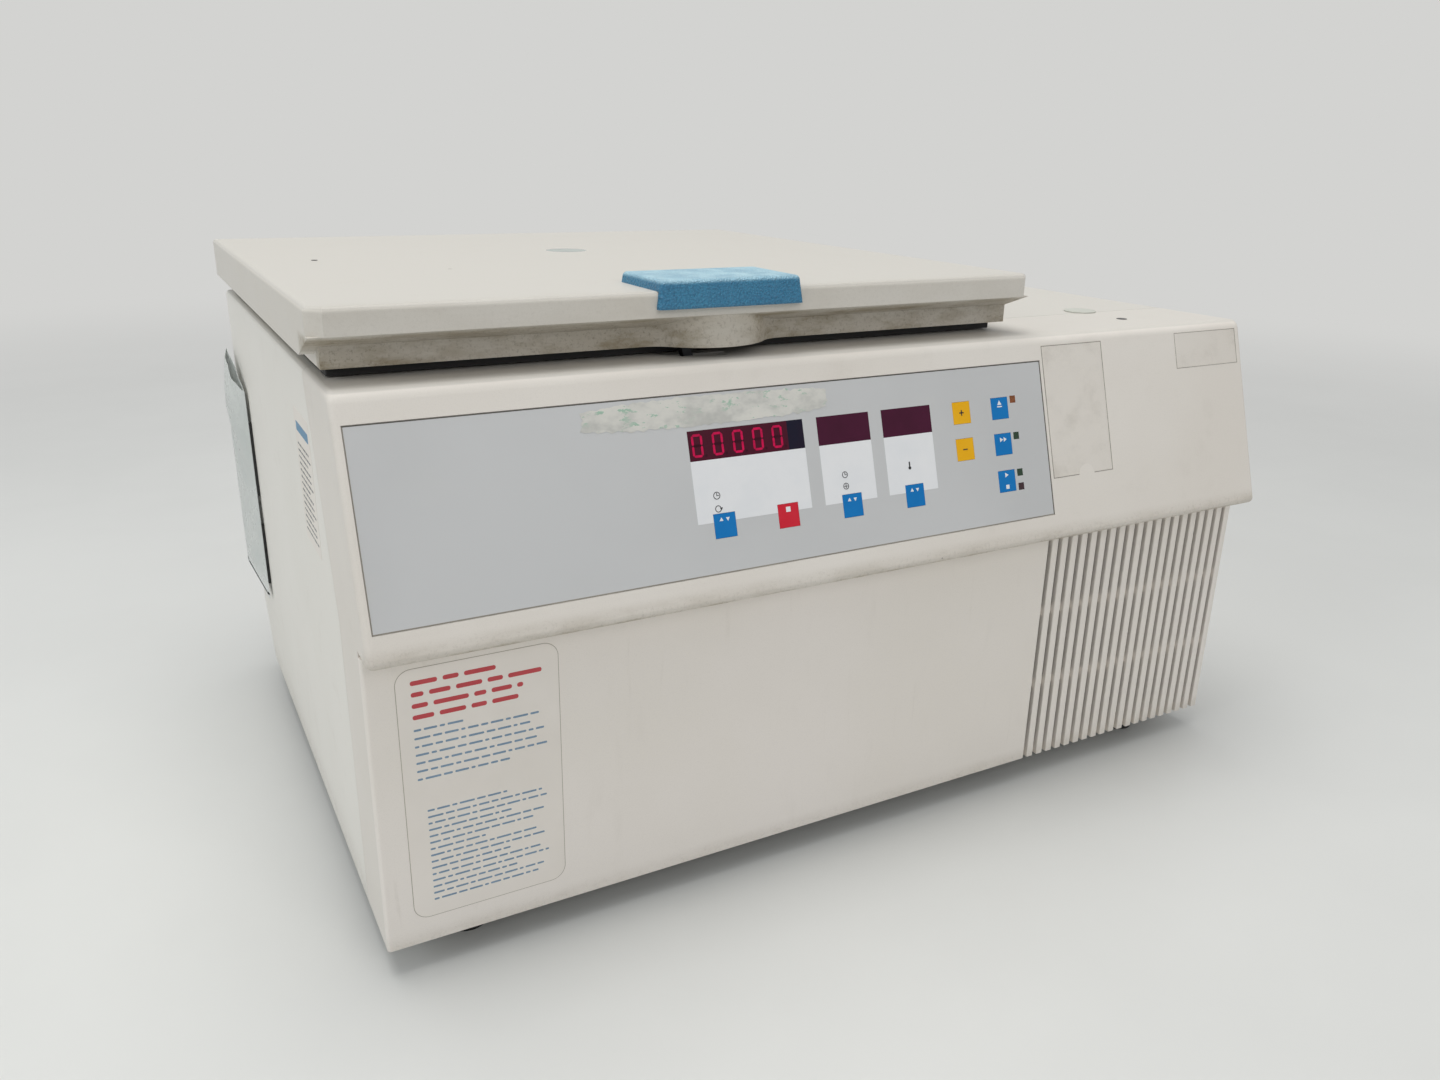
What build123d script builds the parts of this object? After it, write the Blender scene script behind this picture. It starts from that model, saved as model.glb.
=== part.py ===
from build123d import *
import os
from math import atan, cos, degrees, radians, sin, sqrt, tan

os.makedirs("parts", exist_ok=True)

# A bench-top refrigerated centrifuge with a swing-out microplate rotor, lid closed.
# Frame: +X along the front to the right, +Y to the back, +Z up, z = 0 on the bench.

# ---------------------------------------------------------------- driving dimensions, mm
body_width = 690
body_depth = 507
deck_height = 348.5
housing_gap = 20          # bench to the lower edge of the housing
wall = 3                  # moulded housing wall
side_radius = 4
seam_gap = 0.5            # joint line between the two housing halves
seam_depth = 74.5         # lower part of the joint line, behind the lip

face_height = 139         # underside of the control panel's lip to the deck
lip_radius = 4
face_tilt = 17.07         # control face, leaning back from vertical, degrees
face_top_radius = 8
panel_recess = 20         # lower front panel behind the lip
panel_thickness = 4
panel_gap = 0.3
lip_return = 5            # lip wall behind the lower panel
rear_slant_depth = 35     # lower rear corner, cut away for cables
rear_slant_height = 48

grille_width = 198
grille_spacing = 9.9
grille_slot = 4
grille_rib = 6
grille_rib_depth = 3
grille_rib_count = 4
grille_round = 0.8

foot_radius = 15.5
foot_taper = 2
foot_inset = 56
foot_stud_radius = 4
foot_stud_length = 9
base_lift = 22            # bench to the base plate's underside
base_thickness = 2.5
base_flange = 15
inner_gap = 0.4           # base plate to the housing walls
vent_count = 12           # air holes in the base plate, under the motor
vent_circle = 60
vent_radius = 6

# rotor chamber
chamber_offset = 5        # chamber axis right of the middle of its bay
chamber_surround = 30     # coil, foam and guard ring outside the bore
chamber_overhang = 4      # guard ring in front of the chassis plates
chamber_corner = 25
bowl_wall = 1.5
bowl_flange_width = 16
bowl_flange = 2
bowl_hole_radius = 30
coil_tube_radius = 4
coil_gap = 0.3
coil_turns = 9
coil_pitch = 14
coil_start = 20           # first turn above the chamber floor
guard_wall = 6
foam_gap = 0.3
foam_floor = 22
foam_hole_radius = 40
gasket_inset = 4
gasket_width = 10
gasket_round = 3
deck_opening_gap = 2.5    # deck opening outside the bowl's bore

# welded chassis
frame_plate = 4
frame_left = 12
cooling_bay = 226         # right of the chassis
frame_front = 84
frame_back = 5
frame_leg = 25
frame_leg_wall = 3
motor_deck_drop = 38.5    # motor deck below the foam
motor_deck_thickness = 5
motor_deck_hole = 72

# drive
mount_radius = 12
mount_height = 15
motor_mount_circle = 88
motor_mount_count = 3
motor_radius = 65
motor_wall = 5
motor_bottom = 48
motor_head_gap = 11.5     # motor to the foam above it
motor_flange_radius = 102
motor_flange = 6
bearing_radius = 22
bearing_height = 10
bearing_seat_wall = 6
shaft_radius = 9
running_fit = 0.05
air_gap = 0.5
stator_bore = 35
core_margin = 29          # motor's ends to its core
boot_radius = 38
boot_height = 14
boot_sheet = 3
boot_collar = 6
boot_gap = 0.3

# microplate rotor
pivot_drop = 90.5         # trunnion axes below the deck
pivot_circle = 88         # rotor axis to a carrier's trunnion axis
hub_radius = 30
hub_below = 14            # hub and web below the pivot height
hub_above = 14
shaft_shoulder_radius = 14
shaft_shoulder = 5
shaft_thread = 14
rail_thickness = 9
rail_height = 28
rail_end = 16             # rail beyond the trunnion axis
web_width = 40
trunnion_radius = 4
trunnion_seat = 0.05
plate_length = 127.8      # a microplate's footprint
plate_width = 85.5
plate_clearance = 1
carrier_wall = 4
carrier_side_wall = 3
carrier_floor = 3
carrier_depth = 48        # below the trunnion axis
carrier_rise = 8          # above the trunnion axis
carrier_side_height = 18
carrier_gap = 4           # carrier to rail
floor_clearance = 25      # hanging carrier to the chamber floor
carrier_window = 60
knob_radius = 17
knob_height = 20
knob_flutes = 8
knob_flute_radius = 3

# lid
lid_left_overhang = 5
lid_from_right = 213.5    # lid's right edge from the body's right end
lid_front_setback = 48.6
lid_rise = 41.5           # lid's top above the deck
lid_band = 15             # plain edge band of the lid
lid_wall = 3
lid_side_drop = 29        # left and rear walls below the lid's top
lid_corner = 8
lid_edge_radius = 3
skirt_gap = 6.5           # skirt above the deck
skirt_height = 12
skirt_front = 70          # from the body's front
skirt_left = 3
skirt_from_right = 218
skirt_end = 21            # skirt stops this far before the back
boss_width = 75
boss_bulge = 20
boss_blend = 22           # between the latch boss and the skirt
handle_width = 98
handle_draft = 4
handle_front = 44
handle_depth = 61
handle_rise = 6.5
handle_drop = 10          # handle's front skirt below the lid's top
handle_radius = 3
liner_thickness = 3
liner_front = 80
liner_back = 36
liner_side_gap = 0.3
liner_post_radius = 8
liner_post_inset = 26
sight_radius = 16
sight_rim = 1.5
sight_tube_radius = 12
sight_from_axis = 30      # sight glass behind the chamber's axis
sight_gap = 0.3

# lid hinge
hinge_setback = 12        # hinge axis before the back
hinge_rise = 23.5         # hinge axis above the deck
hinge_inset = 56          # hinge ears from the chassis' ends
hinge_ear = 10
hinge_ear_radius = 7.5
hinge_slot_gap = 0.6
hinge_pin_radius = 4
hinge_knuckle = 10
hinge_knuckle_gap = 0.4
hinge_leaf = 3
hinge_leaf_reach = 28
hinge_foot = 36
hinge_foot_thickness = 6
hinge_foot_reach = 30
hinge_notch_rise = 6      # notch in the lid's rear wall above the hinge axis

# lid lock
lock_from_front = 69
lock_pivot_drop = 30.5    # hook's pivot below the deck
lock_thickness = 6
lock_open_angle = 18
lock_arm_near = 6
lock_arm_far = 12
lock_nose = 6
lock_nose_height = 6
lock_disc_radius = 7
lock_pin_radius = 2.5
lock_side_gap = 0.6
hook_slot_left = 24       # slot in the deck, from the chamber's axis
hook_slot_right = 9
lock_body_left = 28
lock_body_right = 24
lock_body_depth = 20
lock_body_drop = 43.5
striker_rise = 11.5       # striker bar above the deck
striker_radius = 3
striker_gap = 0.6
striker_cheek = 3.5
striker_cheek_width = 14
striker_plate = 4

# control face, measured from its top corner line
foil_left = 5
foil_right = 478
foil_top = 17.3
foil_height = 108.5
foil_recess = 1
foil_thickness = 0.7
window_height = 18
window_top = 22           # display windows below the foil's top edge
speed_window_left = 198.4
speed_window_width = 80.2
time_window_left = 288.8
temperature_window_left = 338.5
small_window_width = 39.7
key_size = 15
key_gap = 0.15
key_travel = 0.5
key_plunger_radius = 3
key_plunger = 1.4
upper_row = 29.8          # key rows below the foil's top edge
middle_row = 54.5
lower_row = 80
speed_column = 216.4      # key columns from the body's left end
brake_column = 261.1
time_column = 309.1
temperature_column = 358.8
adjust_column = 404.4
run_column = 438
led_size = 5
led_from_left = 450.2
lid_led_row = 24.5
quick_led_row = 49.7
start_led_row = 75.2
stop_led_row = 85
led_stem = 3
cutout_margin = 6
board_depth = 12          # display board behind the face
board_thickness = 1.6
board_margin = 10
board_post_radius = 3.5
module_gap = 1
switch_size = 12
switch_gap = 0.2          # pressed key to its switch

# refrigeration
condenser_from_right = 190
condenser_width = 180
condenser_front = 62
condenser_depth = 28
condenser_headroom = 10   # condenser below the lip
condenser_fins = 26
condenser_fin = 0.8
condenser_rows = 6
condenser_tube_radius = 4
condenser_plate = 2
shroud_gap = 0.3
shroud_sheet = 3
shroud_ring = 25
fan_margin = 19.5         # blade tips inside the condenser's nearer sides
fan_tip_gap = 4
fan_hub_radius = 20
fan_blades = 5
fan_blade_pitch = 30
fan_blade_depth = 18
fan_blade_thickness = 2
fan_motor_radius = 28
fan_motor_length = 38
fan_shaft_radius = 3
compressor_from_right = 105
compressor_from_back = 177
compressor_radius = 72
compressor_drop = 29.5    # compressor's height less than the lip's
compressor_dome = 30
compressor_foot = 170
compressor_foot_sheet = 3
compressor_foot_inset = 16
line_radius = 4
line_bend = 14
stub_radius = 6
stub_length = 8
line_rise = 32.5          # discharge line over the condenser
dryer_radius = 10
dryer_length = 50

# control electronics and mains
control_board_drop = 108.5
control_board_height = 85
control_board_gap = 6
transformer_place = 60    # along the board from its front edge
transformer_size = 56
transformer_height = 38
sink_place = 165
sink_length = 90
sink_width = 60
sink_base = 5
sink_fins = 10
sink_fin = 2
sink_fin_pitch = 9.6
sink_fin_height = 22
capacitor_place = 260
capacitor_pitch = 34
capacitor_radius = 14
capacitor_height = 34
rear_panel_inset = 8
rear_panel_width = 202
rear_panel_bottom = 72
rear_panel_drop = 22.5    # rear panel below the deck
rear_panel_recess = 8
rear_panel_sheet = 2
rear_flange = 12
louvre_columns = 3
louvre_width = 46
louvre_height = 5
louvre_pitch_x = 58
louvre_pitch_z = 14
louvre_margin = 28        # top row below the panel's top
louvre_clearance = 47     # lowest row above the inlet's middle
rear_screw_radius = 4
rear_screw_head = 2.5
inlet_from_right = 50
inlet_height = 115
inlet_flange_width = 40
inlet_flange_height = 66
inlet_flange = 2
inlet_body_width = 30
inlet_body_height = 56
inlet_body_depth = 30
socket_width = 24.5
socket_height = 16.5
socket_depth = 16
socket_drop = 13
contact_width = 2
contact_height = 5
contact_length = 13
contact_pitch = 7
contact_step = 3          # middle contact below the outer two
rocker_width = 12
rocker_half_height = 9.6
rocker_above = 13.5
rocker_swing_gap = 1.6
rocker_depth = 6
rocker_tilt = 10
rocker_proud = 1.5
rocker_gap = 0.3
rocker_pin_radius = 1.5

# document pocket on the left side
pocket_bulge = 14
pocket_sheet = 1.5
pocket_from_back = 75
pocket_length = 70
pocket_bottom = 92
pocket_drop = 46.5        # pocket's top below the deck
pocket_slope = 24         # mouth lower at its front end
pocket_flange = 6

# ---------------------------------------------------------------- derived places
tilt = radians(face_tilt)
left = pocket_bulge - (body_width + pocket_bulge) / 2
right = left + body_width
front = -body_depth / 2
back = front + body_depth
frame_x0 = left + frame_left
frame_x1 = right - cooling_bay
frame_y0 = front + frame_front
chamber_radius = min(body_depth - frame_front - wall,
                     frame_x1 - frame_x0 - 2 * chamber_offset) / 2 - chamber_surround
guard_inner_radius = chamber_radius + chamber_surround - guard_wall
chamber_x = (left + frame_x1) / 2 + chamber_offset
chamber_y = frame_y0 + chamber_radius + chamber_surround - chamber_overhang
chamber_axis = Axis((chamber_x, chamber_y, 0), (0, 0, 1))

lip_height = deck_height - face_height
lid_top = deck_height + lid_rise
hinge_height = deck_height + hinge_rise
pivot_height = deck_height - pivot_drop
chamber_floor = pivot_height - carrier_depth - floor_clearance
lip_nose = lip_radius * (tan(tilt) + 1 / cos(tilt) - 1)
lip_y = front - lip_nose
face_top_y = lip_y + (deck_height - lip_height) * tan(tilt)
seam_y = front + seam_depth
seam_top_y = seam_y + (deck_height - lip_height) * tan(tilt)
panel_y = front + panel_recess
panel_back_y = panel_y + panel_thickness
deck_under = deck_height - wall
frame_top = deck_under - bowl_flange
frame_under = frame_top - frame_plate
base_top = base_lift + base_thickness
slant_shift = wall * sqrt(1 + (rear_slant_depth / rear_slant_height) ** 2)

side_plane = Plane.YZ
radial_plane = Plane(origin=(chamber_x, chamber_y, 0), x_dir=(1, 0, 0), z_dir=(0, -1, 0))
face_plane = Plane(origin=(left, face_top_y, deck_height), x_dir=(1, 0, 0),
                   z_dir=(0, -cos(tilt), sin(tilt)))

hinge_y = back - hinge_setback
hinge_span = frame_x1 - frame_x0 - 2 * hinge_inset
hinge_places = [chamber_x - hinge_span / 2, chamber_x + hinge_span / 2]
hinge_slot_half = hinge_ear / 2 + hinge_slot_gap
hinge_slot_reach = hinge_ear_radius + hinge_slot_gap

lock_y = front + lock_from_front
hook_slot_front = lock_y - lock_thickness / 2 - lock_side_gap
hook_slot_back = lock_y + lock_thickness / 2 + lock_side_gap

foil_bottom = foil_top + foil_height
key_places = {
    "key_set_speed": (speed_column, lower_row),
    "key_brake": (brake_column, lower_row),
    "key_set_time": (time_column, lower_row),
    "key_set_temperature": (temperature_column, lower_row),
    "key_plus": (adjust_column, upper_row),
    "key_minus": (adjust_column, middle_row),
    "key_lid": (run_column, upper_row),
    "key_quick_run": (run_column, middle_row),
    "key_start_stop": (run_column, lower_row),
}
led_rows = [lid_led_row, quick_led_row, start_led_row, stop_led_row]
cutout_left = speed_window_left - cutout_margin
cutout_right = led_from_left + led_size / 2 + cutout_margin
cutout_top = -foil_top - window_top + cutout_margin
cutout_bottom = -foil_top - led_rows[-1] - led_size / 2 - cutout_margin

back_plane = Plane(origin=(0, back, 0), x_dir=(-1, 0, 0), z_dir=(0, 1, 0))
rear_x1 = right - rear_panel_inset
rear_x0 = rear_x1 - rear_panel_width
rear_panel_top = deck_height - rear_panel_drop
rear_screw_spots = [(-x, z) for x in (rear_x0 + rear_flange / 2, (rear_x0 + rear_x1) / 2,
                                      rear_x1 - rear_flange / 2)
                    for z in (rear_panel_bottom + rear_flange / 2,
                              rear_panel_top - rear_flange / 2)]


def save(piece, name):
    piece.part.label = name
    export_step(piece.part, f"parts/{name}.step")


def block(x0, x1, y0, y1, mode=Mode.ADD):
    """A rectangle from its two corners, in the current sketch."""
    with Locations(((x0 + x1) / 2, (y0 + y1) / 2)):
        Rectangle(x1 - x0, y1 - y0, mode=mode)


# ---------------------------------------------------------------- base plate and feet
base_left = left + wall + inner_gap
base_right = right - wall - inner_gap
base_front = panel_back_y + grille_rib_depth + panel_gap
base_back = back - rear_slant_depth - slant_shift - inner_gap
foot_spots = [(left + foot_inset, front + foot_inset), (right - foot_inset, front + foot_inset),
              (left + foot_inset, back - foot_inset - rear_slant_depth / 2),
              (right - foot_inset, back - foot_inset - rear_slant_depth / 2)]

with BuildPart() as base_plate:
    with BuildSketch(Plane.XY.offset(base_lift)):
        block(base_left, base_right, base_front, base_back)
    extrude(amount=base_thickness + base_flange)
    with BuildSketch(Plane.XY.offset(base_top)):
        block(base_left + base_thickness, base_right - base_thickness,
              base_front + base_thickness, base_back - base_thickness)
    extrude(amount=base_flange, mode=Mode.SUBTRACT)
    with BuildSketch(Plane.XY.offset(base_lift)):
        with Locations(*foot_spots):
            Circle(foot_stud_radius)
    extrude(amount=base_thickness, mode=Mode.SUBTRACT)
    with BuildSketch(Plane.XY.offset(base_lift)):
        with Locations((chamber_x, chamber_y)):
            with PolarLocations(vent_circle, vent_count):
                Circle(vent_radius)
    extrude(amount=base_thickness, mode=Mode.SUBTRACT)
save(base_plate, "base_plate")

with BuildPart() as rubber_feet:
    with BuildSketch(Plane.XY):
        with Locations(*foot_spots):
            Circle(foot_radius - foot_taper)
    extrude(amount=base_lift, taper=-degrees(atan(foot_taper / base_lift)))
    with BuildSketch(Plane.XY.offset(base_lift)):
        with Locations(*foot_spots):
            Circle(foot_stud_radius)
    extrude(amount=foot_stud_length)
save(rubber_feet, "rubber_feet")

# ---------------------------------------------------------------- housing, front half
seam_back = seam_top_y + wall


def on_rim(edge):
    """True on the outer side edges of the face and deck, false on the joint line and cheek."""
    middle = edge.center()
    return middle.Z > deck_height - lip_radius or (middle.Z > lip_height and middle.Y < seam_y)


with BuildPart() as front_housing:
    with BuildSketch(side_plane.offset(left)):
        Polygon((seam_y, housing_gap), (panel_back_y, housing_gap), (panel_back_y, lip_height),
                (lip_y, lip_height), (face_top_y, deck_height), (seam_top_y, deck_height),
                (seam_y, lip_height), align=None)
    extrude(amount=body_width)
    face_top_edge = front_housing.edges().filter_by(Axis.X).group_by(Axis.Z)[-1].sort_by(Axis.Y)[0]
    fillet(face_top_edge, face_top_radius)
    fillet(front_housing.edges().filter_by(Axis.X).sort_by(Axis.Y)[0], lip_radius)
    side_faces = front_housing.faces().filter_by(Axis.X)
    rim_edges = [edge for face in side_faces for edge in face.edges() if on_rim(edge)]
    fillet(rim_edges, side_radius)
    with BuildSketch(side_plane.offset(left + wall)):
        Polygon((seam_back, housing_gap - wall), (panel_back_y - wall, housing_gap - wall),
                (panel_back_y - wall, lip_height - wall), (panel_back_y + lip_return, lip_height - wall),
                (panel_back_y + lip_return, lip_height + wall),
                (lip_y + wall / cos(tilt) + wall * tan(tilt), lip_height + wall),
                (face_top_y + wall / cos(tilt) - wall * tan(tilt), deck_under),
                (seam_back, deck_under), align=None)
    extrude(amount=body_width - 2 * wall, mode=Mode.SUBTRACT)
    # opening over the rotor chamber and slot for the lock hook
    with BuildSketch(Plane.XY.offset(deck_under)):
        with Locations((chamber_x, chamber_y)):
            Circle(chamber_radius + deck_opening_gap)
        block(chamber_x - hook_slot_left, chamber_x + hook_slot_right, hook_slot_front, hook_slot_back)
    extrude(amount=wall, mode=Mode.SUBTRACT)
    # recess for the membrane panel, and the opening behind its windows and keys
    with BuildSketch(face_plane):
        block(foil_left - panel_gap, foil_right + panel_gap,
              -foil_top - foil_height - panel_gap, -foil_top + panel_gap)
    extrude(amount=-foil_recess, mode=Mode.SUBTRACT)
    with BuildSketch(face_plane):
        block(cutout_left, cutout_right, cutout_bottom, cutout_top)
    extrude(amount=-wall, mode=Mode.SUBTRACT)
save(front_housing, "front_housing")

# ---------------------------------------------------------------- housing, main half
with BuildPart() as main_housing:
    with BuildSketch(side_plane.offset(left)):
        Polygon((seam_y + seam_gap, housing_gap), (back - rear_slant_depth, housing_gap),
                (back, housing_gap + rear_slant_height), (back, deck_height),
                (seam_top_y + seam_gap, deck_height), (seam_y + seam_gap, lip_height), align=None)
    extrude(amount=body_width)
    top_rim = main_housing.faces().sort_by(Axis.Z)[-1].edges()
    fillet(top_rim.filter_by(Axis.Y) + top_rim.sort_by(Axis.Y)[-1:], side_radius)
    with BuildSketch(side_plane.offset(left + wall)):
        slant_low_y = back - rear_slant_depth * (1 + wall / rear_slant_height) - slant_shift
        knee_rise = (rear_slant_depth + slant_shift - wall) * rear_slant_height / rear_slant_depth
        Polygon((seam_y - wall, housing_gap - wall), (slant_low_y, housing_gap - wall),
                (back - wall, housing_gap + knee_rise), (back - wall, deck_under),
                (seam_y - wall, deck_under), align=None)
    extrude(amount=body_width - 2 * wall, mode=Mode.SUBTRACT)
    # recessed seat for the rear panel
    with BuildSketch(back_plane.offset(-wall)):
        block(-rear_x1 - wall, -rear_x0 + wall, rear_panel_bottom - wall, rear_panel_top + wall)
    extrude(amount=-rear_panel_recess)
    with BuildSketch(back_plane):
        block(-rear_x1, -rear_x0, rear_panel_bottom, rear_panel_top)
    extrude(amount=-rear_panel_recess, mode=Mode.SUBTRACT)
    with BuildSketch(back_plane):
        block(-rear_x1 + rear_flange, -rear_x0 - rear_flange,
              rear_panel_bottom + rear_flange, rear_panel_top - rear_flange)
        with Locations(*rear_screw_spots):
            Circle(rear_screw_radius / 2)
    extrude(amount=-rear_panel_recess - 2 * wall, mode=Mode.SUBTRACT)
    # chamber opening and hinge slots in the deck
    with BuildSketch(Plane.XY.offset(deck_under)):
        with Locations((chamber_x, chamber_y)):
            Circle(chamber_radius + deck_opening_gap)
        for ear_x in hinge_places:
            block(ear_x - hinge_slot_half, ear_x + hinge_slot_half,
                  hinge_y - hinge_slot_reach, hinge_y + hinge_slot_reach)
    extrude(amount=wall, mode=Mode.SUBTRACT)
save(main_housing, "main_housing")

# ---------------------------------------------------------------- lower front panel and grille
panel_top = lip_height - panel_gap

with BuildPart() as lower_front_panel:
    with BuildSketch(Plane.XY.offset(housing_gap)):
        block(left, right - grille_width - panel_gap, panel_y, panel_back_y)
    extrude(amount=panel_top - housing_gap)
    fillet(lower_front_panel.edges().filter_by(Axis.Z).group_by(Axis.Y)[0].sort_by(Axis.X)[0],
           panel_thickness / 2)
save(lower_front_panel, "lower_front_panel")

grille_left = right - grille_width
grille_slats = round(grille_width / grille_spacing)
grille_pitch = grille_width / grille_slats
grille_slat = grille_pitch - grille_slot
grille_rib_top = lip_height - wall - panel_gap
grille_rib_pitch = (grille_rib_top - housing_gap - grille_rib) / (grille_rib_count - 1)

with BuildPart() as front_grille:
    with BuildSketch(Plane.XY.offset(housing_gap)):
        for slat in range(grille_slats):
            slat_x = grille_left + slat * grille_pitch + grille_slot
            block(slat_x, slat_x + grille_slat, panel_y, panel_back_y)
    extrude(amount=panel_top - housing_gap)
    fillet(front_grille.edges().filter_by(Axis.Z).group_by(Axis.Y)[0], grille_round)
    for rib in range(grille_rib_count):
        with BuildSketch(Plane.XY.offset(housing_gap + rib * grille_rib_pitch)):
            block(grille_left, right - wall - panel_gap, panel_back_y, panel_back_y + grille_rib_depth)
        extrude(amount=grille_rib)
save(front_grille, "front_grille")

# ---------------------------------------------------------------- welded chassis
frame_y1 = back - frame_back
leg_y1 = base_back - base_thickness
bowl_outer = chamber_radius + bowl_wall
bowl_under = chamber_floor - bowl_wall
foam_bottom = bowl_under - foam_floor
motor_deck_top = foam_bottom - motor_deck_drop
lock_tab_front = lock_y - lock_body_depth / 2
hinge_foot_y0 = hinge_y - hinge_foot_reach
hinge_foot_y1 = hinge_y + hinge_ear_radius

with BuildPart() as chassis_frame:
    with BuildSketch(Plane.XY.offset(frame_under)):
        block(frame_x0, frame_x1, frame_y0, frame_y1)
        block(chamber_x - lock_body_left, chamber_x + lock_body_right, lock_tab_front, frame_y0)
        block(chamber_x - hook_slot_left, chamber_x + hook_slot_right,
              hook_slot_front, hook_slot_back)
    extrude(amount=frame_plate)
    with BuildSketch(Plane.XY.offset(motor_deck_top - motor_deck_thickness)):
        block(frame_x0, frame_x1, frame_y0, frame_y1)
    extrude(amount=motor_deck_thickness)
    with BuildSketch(Plane.XY.offset(base_top)):
        for x0, x1 in ((frame_x0, frame_x0 + frame_leg), (frame_x1 - frame_leg, frame_x1)):
            block(x0, x1, frame_y0, frame_y0 + frame_leg)
            block(x0, x1, leg_y1 - frame_leg, leg_y1)
        block(frame_x0 + frame_leg_wall, frame_x1 - frame_leg_wall,
              frame_y0 + frame_leg_wall, leg_y1 - frame_leg_wall, mode=Mode.SUBTRACT)
    extrude(amount=frame_under - base_top)
    # chamber opening, motor opening, hook slot and hinge slots
    with BuildSketch(Plane.XY.offset(frame_under)):
        with Locations((chamber_x, chamber_y)):
            Circle(chamber_radius + deck_opening_gap)
        block(chamber_x - hook_slot_left, chamber_x + hook_slot_right,
              hook_slot_front, hook_slot_back)
        for ear_x in hinge_places:
            block(ear_x - hinge_slot_half, ear_x + hinge_slot_half,
                  hinge_y - hinge_slot_reach, frame_y1)
    extrude(amount=frame_plate, mode=Mode.SUBTRACT)
    with BuildSketch(Plane.XY.offset(motor_deck_top)):
        with Locations((chamber_x, chamber_y)):
            Circle(motor_deck_hole)
    extrude(amount=-motor_deck_thickness, mode=Mode.SUBTRACT)
save(chassis_frame, "chassis_frame")

# ---------------------------------------------------------------- rotor chamber
coil_circle = bowl_outer + coil_gap + coil_tube_radius
foam_inner = coil_circle + coil_tube_radius + foam_gap
gasket_inner = chamber_radius + gasket_inset

with BuildPart() as rotor_chamber:
    with BuildSketch(radial_plane):
        block(0, bowl_outer, bowl_under, deck_under)
        fillet(vertices().group_by(Axis.Y)[0].sort_by(Axis.X)[-1], chamber_corner + bowl_wall)
        block(0, bowl_outer + bowl_flange_width, frame_top, deck_under)
    revolve(axis=chamber_axis)
    with BuildSketch(radial_plane):
        block(0, chamber_radius, chamber_floor, deck_height)
        fillet(vertices().group_by(Axis.Y)[0].sort_by(Axis.X)[-1], chamber_corner)
        block(0, bowl_hole_radius, bowl_under, chamber_floor)
    revolve(axis=chamber_axis, mode=Mode.SUBTRACT)
save(rotor_chamber, "rotor_chamber")

with BuildPart() as chamber_insulation:
    with BuildSketch(radial_plane):
        block(foam_hole_radius, guard_inner_radius - foam_gap, foam_bottom, frame_under - foam_gap)
        block(0, foam_inner, bowl_under - foam_gap, frame_under, mode=Mode.SUBTRACT)
    revolve(axis=chamber_axis)
save(chamber_insulation, "chamber_insulation")

with BuildPart() as evaporator_coil:
    for turn in range(coil_turns):
        with Locations((chamber_x, chamber_y, chamber_floor + coil_start + turn * coil_pitch)):
            Torus(coil_circle, coil_tube_radius)
save(evaporator_coil, "evaporator_coil")

with BuildPart() as guard_ring:
    with BuildSketch(Plane.XY.offset(foam_bottom)):
        with Locations((chamber_x, chamber_y)):
            Circle(guard_inner_radius + guard_wall)
            Circle(guard_inner_radius, mode=Mode.SUBTRACT)
    extrude(amount=frame_under - foam_bottom)
save(guard_ring, "guard_ring")

with BuildPart() as chamber_gasket:
    with BuildSketch(Plane.XY.offset(deck_height)):
        with Locations((chamber_x, chamber_y)):
            Circle(gasket_inner + gasket_width)
            Circle(gasket_inner, mode=Mode.SUBTRACT)
    extrude(amount=skirt_gap - liner_side_gap)
    fillet(chamber_gasket.edges().group_by(Axis.Z)[-1], gasket_round)
save(chamber_gasket, "chamber_gasket")

with BuildPart() as shaft_boot:
    with BuildSketch(radial_plane):
        block(shaft_radius + boot_gap, boot_radius, chamber_floor, chamber_floor + boot_sheet)
        block(shaft_radius + boot_gap, shaft_radius + boot_gap + boot_collar,
              chamber_floor, chamber_floor + boot_height)
    revolve(axis=chamber_axis)
save(shaft_boot, "shaft_boot")

# ---------------------------------------------------------------- drive motor
motor_top = foam_bottom - motor_head_gap
core_bottom = motor_bottom + core_margin
core_top = motor_top - core_margin
motor_seat = motor_deck_top + mount_height
motor_inner = motor_radius - motor_wall
lower_bearing = motor_bottom + bearing_seat_wall
upper_bearing = motor_top - bearing_seat_wall - bearing_height

with BuildPart() as motor_housing:
    with BuildSketch(radial_plane):
        block(0, motor_radius, motor_bottom, motor_top)
        block(0, motor_flange_radius, motor_seat, motor_seat + motor_flange)
    revolve(axis=chamber_axis)
    with BuildSketch(radial_plane):
        block(0, motor_inner, lower_bearing, motor_top - bearing_seat_wall)
        block(0, shaft_radius + air_gap, lower_bearing, motor_top)
    revolve(axis=chamber_axis, mode=Mode.SUBTRACT)
    with BuildSketch(radial_plane):
        block(bearing_radius, bearing_radius + bearing_seat_wall, lower_bearing,
              lower_bearing + bearing_height)
        block(bearing_radius, bearing_radius + bearing_seat_wall, upper_bearing,
              motor_top - bearing_seat_wall)
    revolve(axis=chamber_axis)
save(motor_housing, "motor_housing")

with BuildPart() as motor_stator:
    with BuildSketch(Plane.XY.offset(core_bottom)):
        with Locations((chamber_x, chamber_y)):
            Circle(motor_inner)
            Circle(stator_bore, mode=Mode.SUBTRACT)
    extrude(amount=core_top - core_bottom)
save(motor_stator, "motor_stator")

with BuildPart() as motor_bearings:
    for seat in (lower_bearing, upper_bearing):
        with BuildSketch(Plane.XY.offset(seat)):
            with Locations((chamber_x, chamber_y)):
                Circle(bearing_radius)
                Circle(shaft_radius + running_fit, mode=Mode.SUBTRACT)
        extrude(amount=bearing_height)
save(motor_bearings, "motor_bearings")

compressor_x = right - compressor_from_right
compressor_y = back - compressor_from_back
compressor_mount_spread = compressor_foot - 2 * compressor_foot_inset

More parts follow.
